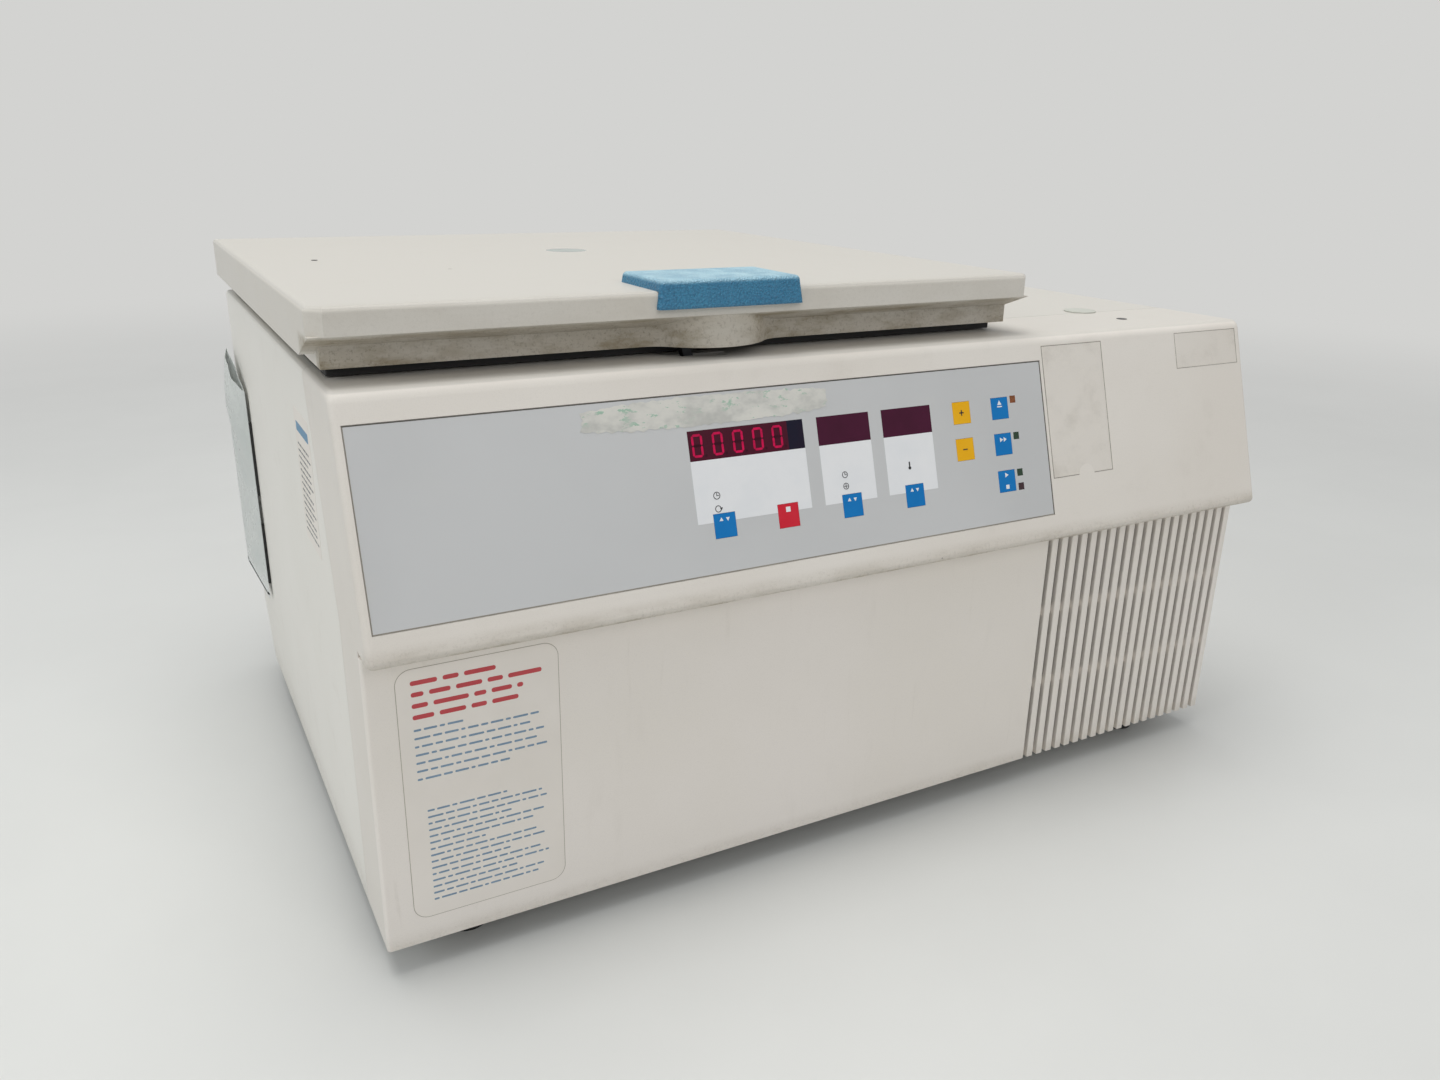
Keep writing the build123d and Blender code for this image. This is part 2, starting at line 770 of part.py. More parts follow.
with BuildPart() as rubber_mounts:
    with BuildSketch(Plane.XY.offset(motor_deck_top)):
        with Locations((chamber_x, chamber_y)):
            with PolarLocations(motor_mount_circle, motor_mount_count, start_angle=90):
                Circle(mount_radius)
    extrude(amount=mount_height)
    with BuildSketch(Plane.XY.offset(base_top)):
        with Locations((compressor_x, compressor_y)):
            with GridLocations(compressor_mount_spread, compressor_mount_spread, 2, 2):
                Circle(mount_radius)
    extrude(amount=mount_height)
save(rubber_mounts, "rubber_mounts")

# ---------------------------------------------------------------- shaft, rotor and carriers
hub_bottom = pivot_height - hub_below
hub_top = pivot_height + hub_above

with BuildPart() as drive_shaft:
    with BuildSketch(radial_plane):
        block(0, shaft_radius, lower_bearing + air_gap, hub_top + shaft_thread)
        block(0, stator_bore - air_gap, core_bottom, core_top)
        block(0, shaft_shoulder_radius, hub_bottom - shaft_shoulder, hub_bottom)
    revolve(axis=chamber_axis)
save(drive_shaft, "drive_shaft")

carrier_half = plate_length / 2 + plate_clearance + carrier_wall
rail_inner = carrier_half + carrier_gap
rail_outer = rail_inner + rail_thickness
rail_half_length = pivot_circle + rail_end

with BuildPart() as rotor_yoke:
    with BuildSketch(Plane.XY.offset(hub_bottom)):
        with Locations((chamber_x, chamber_y)):
            Circle(hub_radius)
            Rectangle(2 * rail_inner, web_width)
    extrude(amount=hub_below + hub_above)
    with BuildSketch(Plane.XY.offset(pivot_height - rail_height / 2)):
        with Locations((chamber_x - (rail_inner + rail_outer) / 2, chamber_y),
                       (chamber_x + (rail_inner + rail_outer) / 2, chamber_y)):
            RectangleRounded(rail_thickness, 2 * rail_half_length, rail_thickness / 3)
    extrude(amount=rail_height)
    with BuildSketch(Plane.XY.offset(hub_bottom)):
        with Locations((chamber_x, chamber_y)):
            Circle(shaft_radius)
    extrude(amount=hub_below + hub_above, mode=Mode.SUBTRACT)
    with BuildSketch(side_plane.offset(chamber_x - rail_outer)):
        for seat_y in (chamber_y - pivot_circle, chamber_y + pivot_circle):
            with Locations((seat_y, pivot_height)):
                Circle(trunnion_radius + trunnion_seat)
            block(seat_y - trunnion_radius - trunnion_seat, seat_y + trunnion_radius + trunnion_seat,
                  pivot_height, pivot_height + rail_height)
    extrude(amount=2 * rail_outer, mode=Mode.SUBTRACT)
save(rotor_yoke, "rotor_yoke")

with BuildPart() as rotor_knob:
    with BuildSketch(Plane.XY.offset(hub_top)):
        with Locations((chamber_x, chamber_y)):
            Circle(knob_radius)
            with PolarLocations(knob_radius, knob_flutes):
                Circle(knob_flute_radius, mode=Mode.SUBTRACT)
    extrude(amount=knob_height)
    chamfer(rotor_knob.edges().group_by(Axis.Z)[-1], knob_flute_radius / 3)
    with BuildSketch(Plane.XY.offset(hub_top)):
        with Locations((chamber_x, chamber_y)):
            Circle(shaft_radius)
    extrude(amount=shaft_thread, mode=Mode.SUBTRACT)
save(rotor_knob, "rotor_knob")

pocket_x = plate_length / 2 + plate_clearance
pocket_y = plate_width / 2 + plate_clearance
carrier_side = pocket_y + carrier_side_wall
carrier_bottom = pivot_height - carrier_depth
carrier_height = carrier_depth + carrier_rise

for name, carrier_y in (("plate_carrier_front", chamber_y - pivot_circle),
                        ("plate_carrier_rear", chamber_y + pivot_circle)):
    with BuildPart() as plate_carrier:
        with BuildSketch(Plane.XY.offset(carrier_bottom)):
            with Locations((chamber_x, carrier_y)):
                Rectangle(2 * carrier_half, 2 * carrier_side)
        extrude(amount=carrier_height)
        with BuildSketch(Plane.XY.offset(carrier_bottom + carrier_floor)):
            with Locations((chamber_x, carrier_y)):
                Rectangle(2 * pocket_x, 2 * pocket_y)
        extrude(amount=carrier_height, mode=Mode.SUBTRACT)
        # the long sides are cut low so the plates can be gripped
        with BuildSketch(Plane.XY.offset(carrier_bottom + carrier_side_height)):
            with Locations((chamber_x, carrier_y)):
                Rectangle(2 * pocket_x, 2 * carrier_side)
        extrude(amount=carrier_height, mode=Mode.SUBTRACT)
        with BuildSketch(Plane.XY.offset(carrier_bottom)):
            with Locations((chamber_x, carrier_y)):
                RectangleRounded(carrier_window, carrier_window, carrier_wall)
        extrude(amount=carrier_floor, mode=Mode.SUBTRACT)
        for face_x, reach in ((chamber_x - carrier_half, -1), (chamber_x + carrier_half, 1)):
            with BuildSketch(side_plane.offset(face_x)):
                with Locations((carrier_y, pivot_height)):
                    Circle(trunnion_radius)
            extrude(amount=reach * (carrier_gap + rail_thickness))
    save(plate_carrier, name)

# ---------------------------------------------------------------- refrigeration
condenser_x0 = right - condenser_from_right
condenser_x1 = condenser_x0 + condenser_width
condenser_y0 = front + condenser_front
condenser_y1 = condenser_y0 + condenser_depth
condenser_top = lip_height - condenser_headroom
condenser_height = condenser_top - base_top
fin_pitch = (condenser_width - condenser_plate - condenser_fin) / (condenser_fins - 1)
tube_pitch = condenser_height / condenser_rows

with BuildPart() as condenser:
    with BuildSketch(Plane.XY.offset(base_top)):
        for fin in range(1, condenser_fins - 1):
            fin_x = condenser_x0 + condenser_plate / 2 + fin * fin_pitch
            block(fin_x, fin_x + condenser_fin, condenser_y0, condenser_y1)
        block(condenser_x0, condenser_x0 + condenser_plate, condenser_y0, condenser_y1)
        block(condenser_x1 - condenser_plate, condenser_x1, condenser_y0, condenser_y1)
    extrude(amount=condenser_height)
    with BuildSketch(side_plane.offset(condenser_x0)):
        for row in range(condenser_rows):
            with Locations(((condenser_y0 + condenser_y1) / 2, base_top + (row + 0.5) * tube_pitch)):
                Circle(condenser_tube_radius)
    extrude(amount=condenser_width)
    with BuildSketch(Plane.XY.offset(condenser_top)):
        block(condenser_x0, condenser_x1, condenser_y0, condenser_y1)
    extrude(amount=condenser_plate)
save(condenser, "condenser")

fan_x = (condenser_x0 + condenser_x1) / 2
shroud_y = condenser_y1 + shroud_gap
ring_y = shroud_y + shroud_sheet + shroud_ring
fan_radius = min(condenser_width, condenser_height) / 2 - fan_margin
fan_height = base_top + condenser_height / 2
fan_bore = fan_radius + fan_tip_gap
fan_y = shroud_y + shroud_sheet + shroud_ring / 2


def fan_plane(y):
    """A plane across the fan's axis at y, facing the back."""
    return Plane(origin=(fan_x, y, fan_height), x_dir=(1, 0, 0), z_dir=(0, 1, 0))


with BuildPart() as fan_shroud:
    with BuildSketch(Plane.XY.offset(base_top)):
        block(condenser_x0, condenser_x1, shroud_y, shroud_y + shroud_sheet)
    extrude(amount=condenser_height)
    with BuildSketch(fan_plane(shroud_y)):
        Circle(fan_bore + shroud_sheet)
    extrude(amount=shroud_sheet + shroud_ring)
    with BuildSketch(fan_plane(shroud_y)):
        Circle(fan_bore)
    extrude(amount=shroud_sheet + shroud_ring, mode=Mode.SUBTRACT)
    with BuildSketch(fan_plane(ring_y)):
        Circle(fan_bore + shroud_sheet)
        Circle(fan_bore, mode=Mode.SUBTRACT)
        Rectangle(2 * fan_bore + shroud_sheet, 2 * shroud_sheet)
        Rectangle(2 * shroud_sheet, 2 * fan_bore + shroud_sheet)
        Circle(fan_motor_radius + shroud_sheet)
        Circle(fan_motor_radius, mode=Mode.SUBTRACT)
    extrude(amount=shroud_sheet)
save(fan_shroud, "fan_shroud")

with BuildPart() as fan_motor:
    with BuildSketch(fan_plane(ring_y)):
        Circle(fan_motor_radius)
    extrude(amount=fan_motor_length)
    fillet(fan_motor.edges().group_by(Axis.Y)[-1], shroud_sheet)
    with BuildSketch(fan_plane(ring_y)):
        Circle(fan_shaft_radius + running_fit)
    extrude(amount=fan_motor_length / 2, mode=Mode.SUBTRACT)
save(fan_motor, "fan_motor")

with BuildPart() as condenser_fan:
    with BuildSketch(fan_plane(fan_y - fan_blade_depth / 2)):
        Circle(fan_hub_radius)
    extrude(amount=fan_blade_depth)
    with BuildSketch(fan_plane(fan_y)):
        Circle(fan_shaft_radius)
    extrude(amount=ring_y - fan_y + fan_motor_length / 2 - running_fit)
    blade_length = fan_radius - fan_hub_radius / 2
    with Locations(fan_plane(fan_y)):
        with PolarLocations(fan_hub_radius / 2 + blade_length / 2, fan_blades):
            Box(blade_length, fan_blade_depth, fan_blade_thickness,
                rotation=(90 - fan_blade_pitch, 0, 0))
save(condenser_fan, "condenser_fan")

compressor_base = base_top + mount_height
compressor_under = compressor_base + compressor_foot_sheet
compressor_height = lip_height - compressor_drop
line_crossing = condenser_top + line_rise
discharge_z = compressor_under + compressor_height - compressor_dome - stub_length
suction_z = foam_bottom - line_bend - stub_length

with BuildPart() as compressor:
    with BuildSketch(Plane.XY.offset(compressor_base)):
        with Locations((compressor_x, compressor_y)):
            RectangleRounded(compressor_foot, compressor_foot, mount_radius)
    extrude(amount=compressor_foot_sheet)
    with BuildSketch(Plane.XY.offset(compressor_under)):
        with Locations((compressor_x, compressor_y)):
            Circle(compressor_radius)
    extrude(amount=compressor_height)
    fillet(compressor.edges().group_by(Axis.Z)[-1], compressor_dome)
    # discharge stub to the front and suction stub to the left
    with BuildSketch(Plane(origin=(compressor_x, compressor_y, discharge_z),
                           x_dir=(1, 0, 0), z_dir=(0, -1, 0))):
        Circle(stub_radius)
    extrude(amount=compressor_radius + stub_length)
    with BuildSketch(Plane(origin=(compressor_x, compressor_y, suction_z),
                           x_dir=(0, 1, 0), z_dir=(-1, 0, 0))):
        Circle(stub_radius)
    extrude(amount=compressor_radius + stub_length)
save(compressor, "compressor")

discharge_y = compressor_y - compressor_radius - stub_length
line_back_y = discharge_y - 3 * line_bend
header_x = condenser_x1 - 2 * line_bend
header_y = (condenser_y0 + condenser_y1) / 2
suction_x = compressor_x - compressor_radius - stub_length
suction_start_x = chamber_x + guard_inner_radius - 3 * line_bend

with BuildPart() as refrigerant_lines:
    with BuildLine():
        FilletPolyline((compressor_x, discharge_y, discharge_z),
                       (compressor_x, line_back_y, discharge_z),
                       (compressor_x, line_back_y, line_crossing),
                       (header_x, line_back_y, line_crossing),
                       (header_x, header_y, line_crossing),
                       (header_x, header_y, condenser_top + condenser_plate), radius=line_bend)
    with BuildSketch(Plane(origin=(compressor_x, discharge_y, discharge_z), z_dir=(0, -1, 0))):
        Circle(line_radius)
    sweep()
    with BuildSketch(side_plane.offset((compressor_x + header_x - dryer_length) / 2)):
        with Locations((line_back_y, line_crossing)):
            Circle(dryer_radius)
    extrude(amount=dryer_length)
    with BuildLine():
        FilletPolyline((suction_x, compressor_y, suction_z),
                       (suction_start_x, compressor_y, suction_z),
                       (suction_start_x, compressor_y, foam_bottom), radius=line_bend)
    with BuildSketch(Plane(origin=(suction_x, compressor_y, suction_z), z_dir=(-1, 0, 0))):
        Circle(line_radius)
    sweep()
save(refrigerant_lines, "refrigerant_lines")

# ---------------------------------------------------------------- control electronics
board_x = frame_x1 + control_board_gap
board_y0 = frame_y0 + frame_leg_wall
board_y1 = leg_y1 - frame_leg_wall
board_z0 = deck_height - control_board_drop
board_z1 = board_z0 + control_board_height

with BuildPart() as control_board:
    with BuildSketch(side_plane.offset(board_x)):
        block(board_y0, board_y1, board_z0, board_z1)
    extrude(amount=board_thickness)
    with BuildSketch(side_plane.offset(frame_x1)):
        with Locations(*[(y, z) for y in (frame_y0 + frame_leg / 2, leg_y1 - frame_leg / 2)
                         for z in (board_z0 + board_margin, board_z1 - board_margin)]):
            Circle(board_post_radius)
    extrude(amount=control_board_gap)
    # transformer, heat sink fins and capacitors on the board
    part_x = board_x + board_thickness
    middle_z = (board_z0 + board_z1) / 2
    with BuildSketch(side_plane.offset(part_x)):
        with Locations((board_y0 + transformer_place, middle_z)):
            Rectangle(transformer_size, transformer_size)
    extrude(amount=transformer_height)
    with BuildSketch(side_plane.offset(part_x)):
        with Locations((board_y0 + sink_place, middle_z)):
            Rectangle(sink_length, sink_width)
    extrude(amount=sink_base)
    with BuildSketch(side_plane.offset(part_x + sink_base)):
        with Locations((board_y0 + sink_place, middle_z)):
            with GridLocations(sink_fin_pitch, sink_width, sink_fins, 1):
                Rectangle(sink_fin, sink_width)
    extrude(amount=sink_fin_height)
    with BuildSketch(side_plane.offset(part_x)):
        with Locations((board_y0 + capacitor_place, middle_z)):
            with GridLocations(capacitor_pitch, capacitor_pitch, 2, 2):
                Circle(capacitor_radius)
    extrude(amount=capacitor_height)
save(control_board, "control_board")

window_y = -foil_top - window_top - window_height / 2
window_spots = [(speed_window_left + speed_window_width / 2, window_y, speed_window_width),
                (time_window_left + small_window_width / 2, window_y, small_window_width),
                (temperature_window_left + small_window_width / 2, window_y, small_window_width)]
key_spots = {name: (x, -foil_top - row) for name, (x, row) in key_places.items()}
led_spots = [(led_from_left, -foil_top - row) for row in led_rows]

with BuildPart() as membrane_foil:
    with BuildSketch(face_plane.offset(-foil_recess)):
        block(foil_left, foil_right, -foil_bottom, -foil_top)
        for x, y, width in window_spots:
            with Locations((x, y)):
                Rectangle(width, window_height, mode=Mode.SUBTRACT)
        with Locations(*key_spots.values()):
            Rectangle(key_size, key_size, mode=Mode.SUBTRACT)
        with Locations(*led_spots):
            Rectangle(led_size, led_size, mode=Mode.SUBTRACT)
    extrude(amount=foil_thickness)
save(membrane_foil, "membrane_foil")

with BuildPart() as display_windows:
    with BuildSketch(face_plane.offset(-foil_recess)):
        for x, y, width in window_spots:
            with Locations((x, y)):
                Rectangle(width, window_height)
    extrude(amount=foil_thickness)
save(display_windows, "display_windows")

with BuildPart() as status_leds:
    with BuildSketch(face_plane.offset(-foil_recess)):
        with Locations(*led_spots):
            Rectangle(led_size, led_size)
    extrude(amount=foil_thickness)
    with BuildSketch(face_plane.offset(-foil_recess)):
        with Locations(*led_spots):
            Rectangle(led_stem, led_stem)
    extrude(amount=foil_recess - board_depth)
save(status_leds, "status_leds")

board_left = cutout_left - board_margin
board_right = cutout_right + board_margin
board_low = cutout_bottom - board_margin
board_high = cutout_top + board_margin
switch_height = board_depth - foil_recess - key_plunger - key_travel - switch_gap
post_spots = [(x, y) for x in (board_left + board_margin / 2, (board_left + board_right) / 2,
                               board_right - board_margin / 2)
              for y in (board_low + board_margin / 2, board_high - board_margin / 2)]

with BuildPart() as display_board:
    with BuildSketch(face_plane.offset(-board_depth)):
        block(board_left, board_right, board_low, board_high)
    extrude(amount=-board_thickness)
    with BuildSketch(face_plane.offset(-board_depth)):
        with Locations(*post_spots):
            Circle(board_post_radius)
    extrude(amount=board_depth - wall)
    with BuildSketch(face_plane.offset(-board_depth)):
        with Locations(*key_spots.values()):
            Rectangle(switch_size, switch_size)
    extrude(amount=switch_height)
save(display_board, "display_board")

with BuildPart() as display_modules:
    with BuildSketch(face_plane.offset(-board_depth)):
        for x, y, width in window_spots:
            with Locations((x, y)):
                Rectangle(width - module_gap, window_height - module_gap)
    extrude(amount=board_depth - wall - module_gap)
save(display_modules, "display_modules")

for name, spot in key_spots.items():
    with BuildPart() as key:
        with BuildSketch(face_plane.offset(-foil_recess)):
            with Locations(spot):
                Rectangle(key_size - 2 * key_gap, key_size - 2 * key_gap)
        extrude(amount=foil_thickness)
        with BuildSketch(face_plane.offset(-foil_recess)):
            with Locations(spot):
                Circle(key_plunger_radius)
        extrude(amount=-key_plunger)
    save(key, name)

# ---------------------------------------------------------------- rear panel, inlet and switch
rear_seat_y = back - rear_panel_recess
rear_face_y = rear_seat_y + rear_panel_sheet
inlet_x = right - inlet_from_right
louvre_top = rear_panel_top - louvre_margin
louvre_rows = int((louvre_top - inlet_height - louvre_clearance) / louvre_pitch_z) + 1
louvre_centre = louvre_top - (louvre_rows - 1) * louvre_pitch_z / 2


def rear_plane(y):
    """A plane facing the back at y; its x runs to the left and its y up."""
    return Plane(origin=(0, y, 0), x_dir=(-1, 0, 0), z_dir=(0, 1, 0))


with BuildPart() as rear_panel:
    with BuildSketch(rear_plane(rear_seat_y)):
        block(-rear_x1 + panel_gap, -rear_x0 - panel_gap,
              rear_panel_bottom + panel_gap, rear_panel_top - panel_gap)
        with Locations((-(rear_x0 + rear_x1) / 2, louvre_centre)):
            with GridLocations(louvre_pitch_x, louvre_pitch_z, louvre_columns, louvre_rows):
                SlotOverall(louvre_width, louvre_height, mode=Mode.SUBTRACT)
        with Locations((-inlet_x, inlet_height)):
            Rectangle(inlet_body_width, inlet_body_height, mode=Mode.SUBTRACT)
        with Locations(*rear_screw_spots):
            Circle(rear_screw_radius / 2, mode=Mode.SUBTRACT)
    extrude(amount=rear_panel_sheet)
save(rear_panel, "rear_panel")

with BuildPart() as rear_screws:
    with BuildSketch(rear_plane(rear_face_y)):
        with Locations(*rear_screw_spots):
            Circle(rear_screw_radius)
    extrude(amount=rear_screw_head)
    fillet(rear_screws.edges().group_by(Axis.Y)[-1], rear_screw_head / 2)
    with BuildSketch(rear_plane(rear_face_y)):
        with Locations(*rear_screw_spots):
            Circle(rear_screw_radius / 2)
    extrude(amount=-rear_panel_sheet - 2 * wall)
save(rear_screws, "rear_screws")

inlet_face_y = rear_face_y + inlet_flange
socket_z = inlet_height - socket_drop
rocker_z = inlet_height + rocker_above
rocker_window = rocker_half_height + rocker_swing_gap
rocker_pivot_y = inlet_face_y - rocker_depth
rocker_well = rocker_depth + rocker_window / 2

with BuildPart() as power_inlet:
    with BuildSketch(rear_plane(rear_face_y)):
        with Locations((-inlet_x, inlet_height)):
            RectangleRounded(inlet_flange_width, inlet_flange_height, wall)
    extrude(amount=inlet_flange)
    with BuildSketch(rear_plane(rear_face_y)):
        with Locations((-inlet_x, inlet_height)):
            Rectangle(inlet_body_width, inlet_body_height)
    extrude(amount=-inlet_body_depth)
    with BuildSketch(rear_plane(inlet_face_y)):
        with Locations((-inlet_x, socket_z)):
            Rectangle(socket_width, socket_height)
    extrude(amount=-socket_depth, mode=Mode.SUBTRACT)
    with BuildSketch(rear_plane(inlet_face_y)):
        with Locations((-inlet_x, rocker_z)):
            Rectangle(rocker_width + 2 * rocker_gap, 2 * rocker_window)
    extrude(amount=-rocker_well, mode=Mode.SUBTRACT)
    with BuildSketch(rear_plane(inlet_face_y - socket_depth)):
        with Locations((-inlet_x - contact_pitch, socket_z), (-inlet_x, socket_z - contact_step),
                       (-inlet_x + contact_pitch, socket_z)):
            Rectangle(contact_width, contact_height)
    extrude(amount=contact_length)
    with BuildSketch(side_plane.offset(inlet_x - rocker_width / 2 - 2 * rocker_pin_radius)):
        with Locations((rocker_pivot_y, rocker_z)):
            Circle(rocker_pin_radius + running_fit)
    extrude(amount=rocker_width + 4 * rocker_pin_radius, mode=Mode.SUBTRACT)
save(power_inlet, "power_inlet")

rocker_angle = radians(rocker_tilt)
rocker_plane = Plane(origin=(inlet_x - rocker_width / 2, rocker_pivot_y, rocker_z),
                     x_dir=(0, cos(rocker_angle), sin(rocker_angle)), z_dir=(1, 0, 0))
rocker_reach = rocker_depth + rocker_proud

with BuildPart() as mains_rocker:
    with BuildSketch(rocker_plane):
        Polygon((rocker_reach, -rocker_half_height), (rocker_reach - 2 * rocker_proud, 0),
                (rocker_reach, rocker_half_height), (0, rocker_half_height),
                (-rocker_reach / 2, rocker_half_height / 3),
                (-rocker_reach / 2, -rocker_half_height / 3), (0, -rocker_half_height), align=None)
    extrude(amount=rocker_width)
    with BuildSketch(rocker_plane.offset(-rocker_pin_radius)):
        Circle(rocker_pin_radius)
    extrude(amount=rocker_width + 2 * rocker_pin_radius)
save(mains_rocker, "mains_rocker")

# ---------------------------------------------------------------- lid
lid_x0 = left - lid_left_overhang
lid_x1 = right - lid_from_right
lid_y0 = front + lid_front_setback
band_bottom = lid_top - lid_band
side_bottom = lid_top - lid_side_drop
skirt_bottom = deck_height + skirt_gap
skirt_top = skirt_bottom + skirt_height
skirt_x0 = left + skirt_left
skirt_x1 = right - skirt_from_right
skirt_y0 = front + skirt_front
skirt_y1 = back - skirt_end
slope = (skirt_y0 - lid_y0) / (band_bottom - skirt_top)
lid_ceiling = lid_top - lid_wall
boss_radius = ((boss_width / 2) ** 2 + boss_bulge ** 2) / (2 * boss_bulge)
boss_y = skirt_y0 - boss_bulge + boss_radius
sight_y = chamber_y + sight_from_axis

with BuildPart() as lid_shell:
    with BuildSketch(Plane.XY.offset(band_bottom)):
        block(lid_x0, lid_x1, lid_y0, back)
        chamfer(vertices().group_by(Axis.Y)[0], lid_corner)
    extrude(amount=lid_band)
    fillet(lid_shell.edges().group_by(Axis.Z)[-1], lid_edge_radius)
    # drafted underside between the edge band and the skirt
    with BuildSketch(Plane.XY.offset(band_bottom)):
        block(skirt_x0, lid_x1 - lid_wall / 2, lid_y0 + lid_wall / 2, back)
    with BuildSketch(Plane.XY.offset(skirt_top)):
        block(skirt_x0, skirt_x1, skirt_y0, back)
    loft()
    # left side wall, its front end cut on the same slope
    with BuildSketch(side_plane.offset(lid_x0)):
        Polygon((lid_y0 + lid_wall / 2, band_bottom), (lid_y0 + slope * (band_bottom - side_bottom),
                side_bottom), (back, side_bottom), (back, band_bottom), align=None)
    extrude(amount=skirt_x0 - lid_x0 + lid_wall)
    with BuildSketch(Plane.XY.offset(side_bottom)):
        block(skirt_x0, skirt_x1, skirt_y0, back)
    extrude(amount=skirt_top - side_bottom)
    with BuildSketch(Plane.XY.offset(skirt_bottom)):
        block(skirt_x0, skirt_x1, skirt_y0, skirt_y1)
    extrude(amount=side_bottom - skirt_bottom)
    # latch boss, blended into the skirt
    with BuildSketch(Plane.XY.offset(skirt_bottom)):
        block(chamber_x - boss_radius - boss_blend, chamber_x + boss_radius + boss_blend,
              skirt_y0, skirt_y1)
        with Locations((chamber_x, boss_y)):
            Circle(boss_radius)
        fillet(vertices().group_by(Axis.Y)[0].sort_by(Axis.X)[1:3], boss_blend)
        block(chamber_x - boss_radius - boss_blend, chamber_x + boss_radius + boss_blend,
              skirt_y0 + lid_wall, skirt_y1, mode=Mode.SUBTRACT)
    extrude(amount=band_bottom - skirt_bottom)
    # hollow underside
    with BuildSketch(Plane.XY.offset(skirt_bottom)):
        block(skirt_x0 + lid_wall, skirt_x1 - lid_wall, skirt_y0 + lid_wall, back - lid_wall)
        with Locations((chamber_x, boss_y)):
            Circle(boss_radius - lid_wall)
    extrude(amount=lid_ceiling - skirt_bottom, mode=Mode.SUBTRACT)
    # notches in the rear wall for the hinge ears
    with BuildSketch(Plane.XY.offset(side_bottom)):
        for ear_x in hinge_places:
            block(ear_x - hinge_slot_half, ear_x + hinge_slot_half, back - lid_wall, back)
    extrude(amount=hinge_height + hinge_notch_rise - side_bottom, mode=Mode.SUBTRACT)
    # sight glass seat
    with BuildSketch(Plane.XY.offset(lid_top)):
        with Locations((chamber_x, sight_y)):
            Circle(sight_radius)
    extrude(amount=-sight_rim, mode=Mode.SUBTRACT)
    with BuildSketch(Plane.XY.offset(lid_top)):
        with Locations((chamber_x, sight_y)):
            Circle(sight_tube_radius)
    extrude(amount=-lid_wall, mode=Mode.SUBTRACT)
save(lid_shell, "lid_shell")

handle_bottom = lid_top - handle_drop
handle_height = handle_drop + handle_rise
handle_y0 = front + handle_front

with BuildPart() as lid_handle:
    with BuildSketch(Plane.XY.offset(handle_bottom)):
        block(chamber_x - handle_width / 2, chamber_x + handle_width / 2,
              handle_y0, handle_y0 + handle_depth)
    extrude(amount=handle_height, taper=degrees(atan(handle_draft / 2 / handle_height)))
    fillet(lid_handle.edges().filter_by(Axis.Z, reverse=True).group_by(Axis.Z)[-1]
           + lid_handle.edges().filter_by(lambda edge: abs(edge.tangent_at(0.5).Z) > 0.5),
           handle_radius)
    with BuildSketch(Plane.XY.offset(handle_bottom)):
        block(chamber_x - handle_width, chamber_x + handle_width, lid_y0, handle_y0 + handle_depth)
    extrude(amount=handle_drop, mode=Mode.SUBTRACT)
save(lid_handle, "lid_handle")

liner_x0 = skirt_x0 + lid_wall + liner_side_gap
liner_x1 = skirt_x1 - lid_wall - liner_side_gap
liner_y0 = front + liner_front
liner_y1 = back - liner_back
liner_top = skirt_bottom + liner_thickness
liner_posts = [(x, y) for x in (liner_x0 + liner_post_inset, liner_x1 - liner_post_inset)
               for y in (liner_y0 + liner_post_inset, liner_y1 - liner_post_inset)]

with BuildPart() as lid_liner:
    with BuildSketch(Plane.XY.offset(skirt_bottom)):
        block(liner_x0, liner_x1, liner_y0, liner_y1)
    extrude(amount=liner_thickness)
    with BuildSketch(Plane.XY.offset(liner_top)):
        with Locations(*liner_posts):
            Circle(liner_post_radius)
    extrude(amount=lid_ceiling - liner_top)
    with BuildSketch(Plane.XY.offset(skirt_bottom)):
        with Locations((chamber_x, sight_y)):
            Circle(sight_tube_radius + sight_gap)
        with Locations(*liner_posts):
            Circle(rear_screw_radius / 2)
    extrude(amount=liner_thickness, mode=Mode.SUBTRACT)
save(lid_liner, "lid_liner")

with BuildPart() as lid_screws:
    with BuildSketch(Plane.XY.offset(skirt_bottom)):
        with Locations(*liner_posts):
            Circle(rear_screw_radius)
    extrude(amount=-rear_screw_head)
    with BuildSketch(Plane.XY.offset(skirt_bottom)):
        with Locations(*liner_posts):
            Circle(rear_screw_radius / 2)
    extrude(amount=liner_thickness)
save(lid_screws, "lid_screws")

with BuildPart() as sight_glass:
    with BuildSketch(Plane.XY.offset(lid_top)):
        with Locations((chamber_x, sight_y)):
            Circle(sight_radius)
    extrude(amount=-sight_rim)
    with BuildSketch(Plane.XY.offset(lid_top - sight_rim)):
        with Locations((chamber_x, sight_y)):
            Circle(sight_tube_radius)
    extrude(amount=skirt_bottom - lid_top + sight_rim)
save(sight_glass, "sight_glass")

# ---------------------------------------------------------------- hinge
with BuildPart() as hinge_brackets:
    for ear_x in hinge_places:
        with BuildSketch(side_plane.offset(ear_x - hinge_ear / 2)):
            with Locations((hinge_y, hinge_height)):
                Circle(hinge_ear_radius)
            block(hinge_y - hinge_ear_radius, hinge_y + hinge_ear_radius,
                  frame_under - hinge_foot_thickness, hinge_height)
            with Locations((hinge_y, hinge_height)):
                Circle(hinge_pin_radius, mode=Mode.SUBTRACT)
        extrude(amount=hinge_ear)
        with BuildSketch(Plane.XY.offset(frame_under)):
            block(ear_x - hinge_foot / 2, ear_x + hinge_foot / 2, hinge_foot_y0, hinge_foot_y1)
        extrude(amount=-hinge_foot_thickness)
save(hinge_brackets, "hinge_brackets")

knuckle_in = hinge_ear / 2 + hinge_knuckle_gap
knuckle_out = knuckle_in + hinge_knuckle

